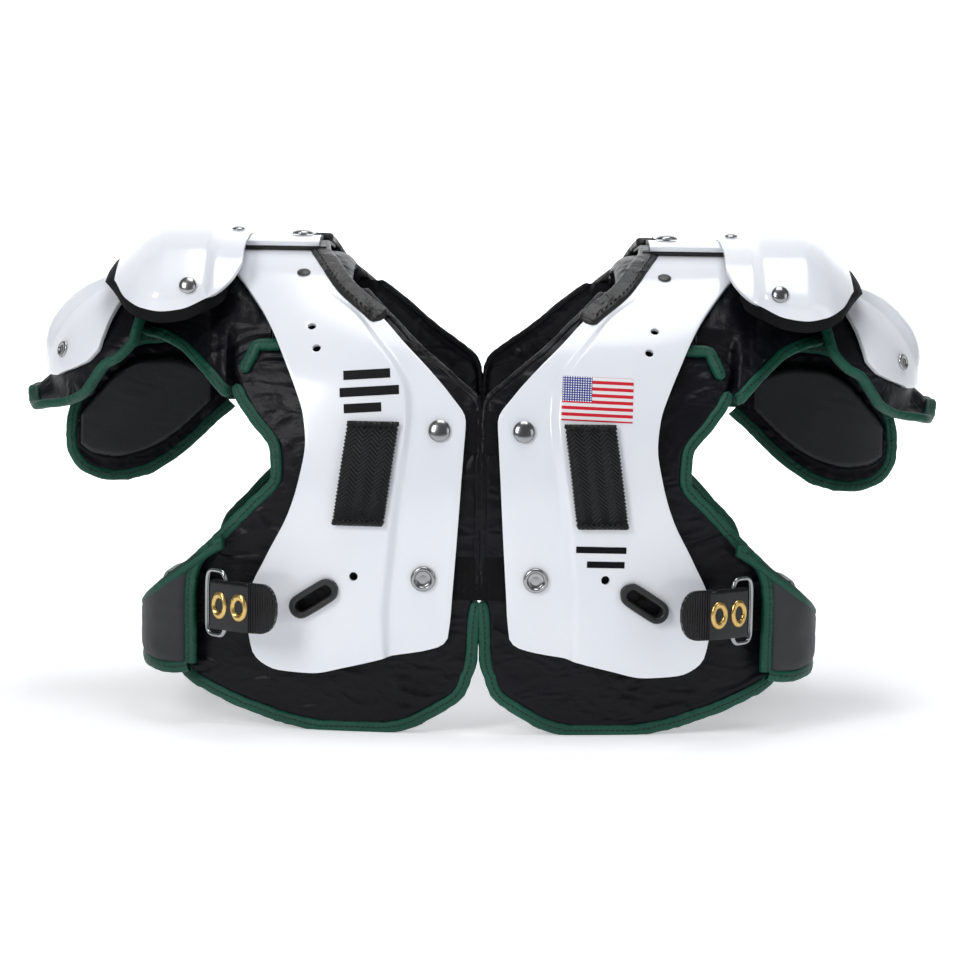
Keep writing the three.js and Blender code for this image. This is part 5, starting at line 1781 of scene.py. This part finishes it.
@dataclass(frozen=True)
class NeckGuards:
    """Grey-black leather folded over the neck edges, and the black sheet that fills the gap between the
    plates.
    """

    size: GuardSize = GUARD

    def neck_edge(self, side: Side, down: Array) -> Array:
        """Args: side, down: where. Returns: how far across the plate's neck edge is."""
        return curve(TABLES[side].down, TABLES[side].inner, down) * PLATE.span

    def fold(self, side: Side) -> Piece:
        """Args: side: which. Returns: the folded strip."""
        size = self.size
        down = np.linspace(size.start, size.end, 60)
        edge, off = self.neck_edge(side, down), stand_off(down, side)
        tuck = smooth((down - size.start) / 0.05)
        x = edge + (size.cover - size.nose) / 2 * mix(0.3, 1, tuck)
        lift = off + ARCH.gap + PLATE.wall / 2 + 0.0006
        sag = 0.0004 * ripples(ARCH.at(x, down, side, lift), 0.011, 2.0)
        path = ARCH.at(x, down, side, lift + sag)
        up = ARCH.normal(x, down, side)
        along = unit(np.gradient(path, axis=0))
        out = unit(np.cross(along, up))
        strip = tube("fold", path, out, up, (size.cover + size.nose, size.height), False, 0.55, 24)
        co = coordinates(strip)
        co += 0.0004 * ripples(co, 0.005, 4.0)[:, None]
        move_to(strip, co)
        return strip

    def gap_sheet(self) -> Piece:
        """Returns: the black sheet that fills the gap between the plates over the shoulder."""
        size = self.size
        def place(u: Array, v: Array) -> Array:
            """Args: u, v: shares. Returns: the points there."""
            down = mix(-0.083, 0.083, v)
            inner, outer = (curve(BACK_TABLE.down, rows, down)
                            for rows in (BACK_TABLE.inner, BACK_TABLE.outer))
            x = mix(inner * PLATE.span - size.overhang, (outer - 0.02) * PLATE.span, u)
            return ARCH.at(x, down, Side.BACK, ARCH.gap * 2 + PLATE.wall + size.gap_sheet)

        return walled("gap_sheet", (20, 30), place, size.gap_sheet)

    def build(self) -> None:
        """Builds and dresses the guards."""
        size = self.size
        parts = [self.fold(Side.FRONT), self.fold(Side.BACK), self.gap_sheet()]
        pair(join("leather_neck_guard", parts), LEATHER, ["neck_guard"])
        for side in Side:
            down = np.linspace(size.start + 0.02, size.end - 0.008, 200)
            edge = self.neck_edge(side, down)
            lift = stand_off(down, side) + ARCH.gap + PLATE.wall + size.stitch_lift
            path = ARCH.at(edge + size.cover - size.stitch_inset, down, side, lift)
            stitch(f"stitch_neck_{side.name.lower()}", path, ARCH.normal(edge, down, side))


def stitch(name: str, path: Array, up: Array, pitch: float = 0.0046, thick: float = 0.0009) -> None:
    """A row of thread along a line. Args: name: its name. path: N by 3. up: N by 3. pitch: of a stitch.
    thick: of the thread."""
    knots = resampled(path, pitch)
    parts = []
    for a, following in zip(knots, knots[1:]):
        b = a + (following - a) * 0.68
        mid = (a + b) / 2
        near = up[np.argmin(np.linalg.norm(path - mid, axis=1))]
        low, high = near * 0.0002, near * 0.0003
        line = np.stack([a, mix(a, mid, 0.5) + low, mid + high, mix(mid, b, 0.5) + low, b])
        out, over = (np.tile(way, (5, 1)) for way in (unit(np.cross(b - a, near)), near))
        parts.append(tube("thread", line, out, over, (thick, thick), False, 1.0, 6))
    pair(join(name, parts), THREAD, [])


@dataclass(frozen=True)
class Webbings:
    """The sewn webbing on the chest plate, and the straps that join the halves behind the plates."""

    size: WebbingSize = WEB

    def patch_face(self, u: Array, v: Array) -> Array:
        """Args: u, v: shares across and down. Returns: the webbing's outer face."""
        size = self.size
        share = v - 0.5
        z = size.height - share * size.length
        edge = np.abs(2 * u - 1)
        teeth = 0.0005 * np.sin(v * size.length / 0.0022 * 2 * math.pi)
        teeth = teeth * smooth((edge - 0.9) / 0.1) * np.sign(u - 0.5)
        x = size.across + size.lean * share + (u - 0.5) * size.width + teeth
        down = ARCH.down_at(z)
        ends = np.exp(-((np.abs(share) - 0.47) ** 2) / 0.0011)
        arch = 0.0016 * (1 - (2 * share) ** 4)
        lift = 2 * ARCH.gap + PLATE.wall + emboss_at(down) + size.wall + 0.0020 * ends + arch
        points = ARCH.at(x, down, Side.FRONT, lift)
        points[:, 1] += 0.0004 * ripples(points, 0.012, 3.0)
        return points

    def build(self) -> None:
        """Builds and dresses the webbing."""
        size = self.size
        patch = walled("webbing_on_plate", (16, 120), self.patch_face, 0.0026)
        pair(patch, WEBBING, ["webbing_patch"])
        for k, share in enumerate((-0.44, 0.44)):
            u = np.linspace(0.08, 0.92, 40)
            v = np.full(40, 0.5 + share)
            path = self.patch_face(u, v)
            down = ARCH.down_at(np.full(40, size.height - share * size.length))
            up = ARCH.normal(np.full(40, size.across), down, Side.FRONT)
            stitch(f"stitch_webbing_{k}", path + up * 0.0003, up, 0.0034, 0.0008)
        for side, stem in ((Side.FRONT, "chest_strap"), (Side.BACK, "back_strap")):
            for name, (_, z) in zip(("upper", "lower"), CHEST_RIVETS):
                def place(u: Array, v: Array) -> Array:
                    """Args: u, v: shares. Returns: the points there."""
                    down = ARCH.down_at(z + size.strap_width * (0.5 - v))
                    lift = -0.0003 + 0.0003 * np.sin(u * 60)
                    return ARCH.at(mix(-size.strap_reach, size.strap_reach, u), down, side, lift)

                strap = walled(f"webbing_{stem}_{name}", (60, 12), place, size.wall)
                dress(strap, PLAIN_WEBBING)
                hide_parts(f"{stem}_{name}")


def even(half: float) -> Callable[[Array], Array]:
    """Args: half: a half width. Returns: a band's half width that stays the same along it."""
    return lambda run: np.full_like(run, half)


@dataclass(frozen=True)
class Belts:
    """The side belt: webbing inside the wing, the wire ring and the tab with brass eyelets."""

    size: RingSize = RING
    web: WebbingSize = WEB

    def plan(self, out: float, forward: float) -> Array:
        """Args: out, forward: shares. Returns: a point of the plan at the floor."""
        return np.array([out * WING.reach, -forward * ARCH.half_depth, 0.0])

    def axis(self) -> tuple[Array, Array]:
        """Returns: the ring's middle at the floor and the way to the tab's tip."""
        size = self.size
        first, second = (self.plan(size.out[k], size.forward[k]) for k in (0, 1))
        along = unit(second - first)
        return first - along * size.width / 2, along

    def ring(self) -> None:
        """Builds and dresses the wire ring."""
        size = self.size
        middle, along = self.axis()
        turn = np.linspace(0, 2 * math.pi, 97)
        c, s = np.cos(turn), np.sin(turn)
        a = np.sign(c) * np.abs(c) ** 0.5 * size.width / 2
        b = np.sign(s) * np.abs(s) ** 0.32 * size.height / 2
        path = middle + along * a[:, None] + UP * (b + self.web.belt_height)[:, None] + SHIFT
        path = resampled(path, 0.0012)
        flat = np.cross(UP, along)
        ahead = unit(np.roll(path[:-1], -1, axis=0) - np.roll(path[:-1], 1, axis=0))
        ahead = np.vstack([ahead, ahead[:1]])
        up = np.broadcast_to(unit(flat), path.shape)
        wire = tube("wire_ring", path, np.cross(ahead, up), up, (size.wire, size.wire), True, 1.0, 14)
        pair(wire, STEEL, ["belt_ring"])

    def band(self, centres: Array, wall: float, half: Callable[[Array], Array], wave: float,
             turn: float) -> Place:
        """A band that stands on edge. Args: centres: N by 3. wall: thickness. half: half width along it.
        wave: unevenness. turn: 1 or -1, the side that faces out. Returns: its outer face."""
        share = np.linspace(0, 1, len(centres))
        run = np.linalg.norm(np.diff(centres, axis=0), axis=1).sum()

        def place(u: Array, v: Array) -> Array:
            """Args: u, v: shares. Returns: the points there."""
            x, y = (np.interp(v, share, centres[:, k]) for k in (0, 1))
            ahead = np.minimum(v + 0.01, 1)
            behind = np.maximum(v - 0.01, 0)
            way = np.stack([np.interp(ahead, share, rows) - np.interp(behind, share, rows)
                            for rows in centres[:, :2].T], axis=-1)
            way = unit(way) * turn
            z = self.web.belt_height + (2 * u - 1) * half(v * run)
            points = stack(x + way[:, 1] * wall / 2, y - way[:, 0] * wall / 2, z) + SHIFT
            out = np.stack([way[:, 1], -way[:, 0], 0 * x], axis=-1)
            return points + wave * ripples(points, 0.01, 2.0)[:, None] * out

        return place

    def tab(self) -> None:
        """Builds and dresses the tab, its ribbed end and its eyelets."""
        size = self.size
        middle, along = self.axis()
        centres = np.array([self.plan(o, f) for o, f in zip(size.out, size.forward)])
        start = middle - along * (size.width / 2 - 0.0095)
        last = centres[-1] + unit(centres[-1] - centres[-2]) * 0.012
        line = resampled(np.vstack([start, centres, last]), 0.002)
        way = unit(line[-1] - line[0])
        line = line + np.array((-way[1], way[0], 0.0)) * np.linspace(0.0042, 0.0016, len(line))[:, None]
        run = np.linalg.norm(np.diff(line, axis=0), axis=1).sum()
        half = self.web.width / 2

        def tip(s: Array) -> Array:
            """Args: s: run along the tab. Returns: its half widths."""
            past = np.clip((s - run + 0.012) / 0.0122, 0, 1)
            return half * np.sqrt(np.clip(1 - past**2.6, 0.05, 1))

        body = walled("webbing_tab", (20, 60), self.band(line, size.tab_wall, tip, 0.0001, -1), size.tab_wall)
        pair(body, RIBBED, ["belt_tab"])
        cut = int(len(line) * 0.66)
        face = self.band(line[:cut], size.tab_wall + 0.0022, even(half * 0.985), 0.0, -1)
        cover = walled("leather_tab", (12, 30), face, 0.0012)
        pair(cover, PATENT, [])
        for k, share in enumerate((0.17, 0.50)):
            at = line[int(share * len(line))]
            ahead = unit(line[int(share * len(line)) + 1] - at)
            out = np.array([-ahead[1], ahead[0], 0])
            centre = at + np.array([0, 0, self.web.belt_height]) + SHIFT + out * (size.tab_wall / 2 + 0.0011)
            squash = Matrix.Diagonal((1, 0.74, 1, 1))
            place = facing(centre, centre + out * 0.001, UP) @ squash
            eyelet = turned(f"brass_eyelet_{k}", EYELET)
            pair(placed(eyelet, place), BRASS, [])
            core = turned(f"eyelet_core_{k}", EYELET_CORE)
            pair(placed(core, place), THREAD, [])

    def build(self) -> None:
        """Builds and dresses the belt."""
        self.ring()
        self.tab()
        middle, along = self.axis()
        wings = Wings()
        inside = wings.plan(np.array(self.web.belt_along), np.array(self.web.belt_inset))
        beside = (self.size.wire + self.web.wall) / 2 - ARCH.gap
        bar = middle - along * self.size.width / 2 + np.array((0, beside, 0))
        centres = resampled(np.vstack([bar, np.hstack([inside, np.zeros((4, 1))])]), 0.003)
        face = self.band(centres, self.web.wall, even(self.web.width / 2), 0.0002, 1)
        strap = walled("webbing_belt", (14, 30), face, self.web.wall)
        pair(strap, PLAIN_WEBBING, ["belt_webbing"])


PRINTS = (
    ("printed_flag", (0.0735, 0.2150), (0.0455, 0.0265), -2.0, False, FLAG),
    ("printed_mark_0", (-0.074, 0.228), (0.030, 0.0055), 4.0, True, THREAD),
    ("printed_mark_1", (-0.072, 0.218), (0.038, 0.0055), 4.0, True, THREAD),
    ("printed_mark_2", (-0.076, 0.208), (0.024, 0.0055), 4.0, True, THREAD),
    ("printed_bar_0", (0.077, 0.1225), (0.032, 0.0042), -1.0, False, DARK_FOAM),
    ("printed_bar_1", (0.080, 0.113), (0.024, 0.0042), -1.0, False, DARK_FOAM),
)
"""Name, middle, size, degrees, whether on the left plate, and finish of each print."""


@dataclass(frozen=True)
class Prints:
    """The flag and the plain marks printed on the chest plates."""

    prints: tuple[tuple[object, ...], ...] = PRINTS

    def on_plate(self, name: str, middle: tuple[float, float], size: tuple[float, float], turn: float,
                 mirrored_side: bool = False) -> Piece:
        """A thin print on the chest plate. Args: name: its name. middle, size: where and how large.
        turn: degrees.
        mirrored_side: on the left half. Returns: the piece."""
        c, s = math.cos(math.radians(turn)), math.sin(math.radians(turn))

        def place(u: Array, v: Array) -> Array:
            """Args: u, v: shares. Returns: the points there."""
            a, b = (u - 0.5) * size[0], (v - 0.5) * size[1]
            x, z = middle[0] + a * c - b * s, middle[1] + a * s + b * c
            down = ARCH.down_at(z)
            lift = ARCH.gap + PLATE.wall + emboss_at(down) + 0.00015
            points = ARCH.at(np.abs(x), down, Side.FRONT, lift)
            if mirrored_side:
                points[:, 0] *= -1
            return points

        return walled(name, (24, 16), place, 0.0002)

    def build(self) -> None:
        """Builds and dresses the prints."""
        for name, middle, size, turn, left, finish in self.prints:
            dress(self.on_plate(name, middle, size, turn, left), finish)


SUB_ASSEMBLIES = (Plates, Caps, Cups, NeckGuards, BodyPads, Liners, Lobes, CupPads, Wings, Webbings, Belts,
                  Fasteners, Prints)


# Studio


@dataclass(frozen=True)
class Lamp:
    """A soft area light."""

    name: str
    at: tuple[float, float, float]
    size: tuple[float, float]
    watts: float
    colour: Colour = (1.0, 1.0, 1.0)
    aim: tuple[float, float, float] = (0.0, 0.0, 0.15)


@dataclass(frozen=True)
class Shot:
    """The scene's camera: where it stands, looks and how it is rolled."""

    at: tuple[float, float, float] = (0.0, -1.98904, 0.36006)
    target: tuple[float, float, float] = (0.0, 0.0, 0.151)
    lens: float = 108.71
    roll: float = 0.9
    shift: tuple[float, float] = (-0.001, 0.0)


@dataclass(frozen=True)
class Studio:
    """Pale sweep, soft lights and the camera."""

    shot: Shot = Shot()
    lamps: tuple[Lamp, ...] = (
        Lamp("Key", (-1.3, -1.9, 1.5), (0.8, 1.2), 27.0),
        Lamp("Fill", (1.8, -1.5, 0.9), (0.9, 1.2), 5.5, (0.96, 0.98, 1.0)),
        Lamp("Top", (0.1, 0.0, 1.9), (1.5, 0.9), 17.0, (0.97, 0.98, 1.0)),
        Lamp("Wall", (0.0, 1.3, 1.7), (3.2, 0.8), 60.0, aim=(0.0, 3.2, 0.7)),
    )

    def sweep(self) -> Piece:
        """Builds the floor that curves up into a wall. Returns: the sweep."""
        def place(u: Array, v: Array) -> Array:
            """Args: u, v: shares. Returns: the points there."""
            x = mix(-6, 6, u)
            run = mix(-9, 8, v)
            turn = np.clip((run - 2.0) / 1.2, 0, math.pi / 2)
            y = np.minimum(run, 2.0) + 1.2 * np.sin(turn)
            z = 1.2 * (1 - np.cos(turn)) + np.maximum(run - 2.0 - 1.2 * math.pi / 2, 0)
            return stack(x, y, z - 0.0002)

        floor = skin("floor", (4, 160), place)
        smoothed(floor, 80)
        pale = Finish("Pale floor", (0.88, 0.885, 0.89), roughness=0.75, spread=0.03).material()
        shader = pale.node_tree.nodes["Principled BSDF"]
        shader.inputs["Emission Color"].default_value = (0.97, 0.98, 1.0, 1)
        shader.inputs["Emission Strength"].default_value = 0.36
        floor.data.materials.append(pale)
        return floor

    def light(self) -> None:
        """Adds the lamps and an even world."""
        for lamp in self.lamps:
            data = bpy.data.lights.new(lamp.name, "AREA")
            data.shape, data.size, data.size_y = "RECTANGLE", *lamp.size
            data.energy, data.color = lamp.watts, lamp.colour
            light = bpy.data.objects.new(lamp.name, data)
            bpy.context.scene.collection.objects.link(light)
            light.location = lamp.at
            light.rotation_euler = (Vector(lamp.aim) - Vector(lamp.at)).to_track_quat("-Z", "Y").to_euler()
        world = bpy.data.worlds.new("Soft white")
        world.use_nodes = True
        world.node_tree.nodes["Background"].inputs["Color"].default_value = (0.93, 0.95, 1.0, 1)
        world.node_tree.nodes["Background"].inputs["Strength"].default_value = 0.17
        bpy.context.scene.world = world
        bpy.context.scene.view_settings.view_transform = "Standard"

    def camera(self, shot: Shot) -> None:
        """Adds the photo's camera. Args: shot: where it stands."""
        data = bpy.data.cameras.new("Photo camera")
        data.lens, data.sensor_width = shot.lens, 36.0
        data.shift_x, data.shift_y = shot.shift
        camera = bpy.data.objects.new("Photo camera", data)
        bpy.context.scene.collection.objects.link(camera)
        look = (Vector(shot.target) - Vector(shot.at)).to_track_quat("-Z", "Y").to_matrix().to_4x4()
        turn = look @ Matrix.Rotation(math.radians(shot.roll), 4, "Z")
        camera.matrix_world = Matrix.Translation(shot.at) @ turn
        bpy.context.scene.camera = camera

    def build(self) -> None:
        """Builds all of it."""
        self.sweep()
        self.light()
        self.camera(self.shot)


def plain_nodes() -> None:
    """Gives every CAD node that still shows a procedural finish."""
    finishes = {"shell": PLASTIC, "cloth": NYLON, "foam": DARK_FOAM, "binding": BINDING, "leather": LEATHER,
                "webbing": PLAIN_WEBBING, "rubber": RUBBER, "steel": STEEL}
    slots = {part["node"]: part.get("material_slot") for part in frame["record"].get("subparts", [])}
    for name, node in frame["nodes"].items():
        if node.hide_render:
            continue
        finish = finishes.get(slots.get(name) or "", DARK_FOAM)
        for k in range(len(node.material_slots)):
            node.material_slots[k].material = finish.material()
        log.info("%s: CAD node kept", name)


def main() -> None:
    """Builds, dresses and lights the shoulder pad."""
    for group in SUB_ASSEMBLIES:
        group().build()
        log.info("%s built", group.__name__)
    plain_nodes()
    Studio().build()


if __name__ == "__main__":
    main()
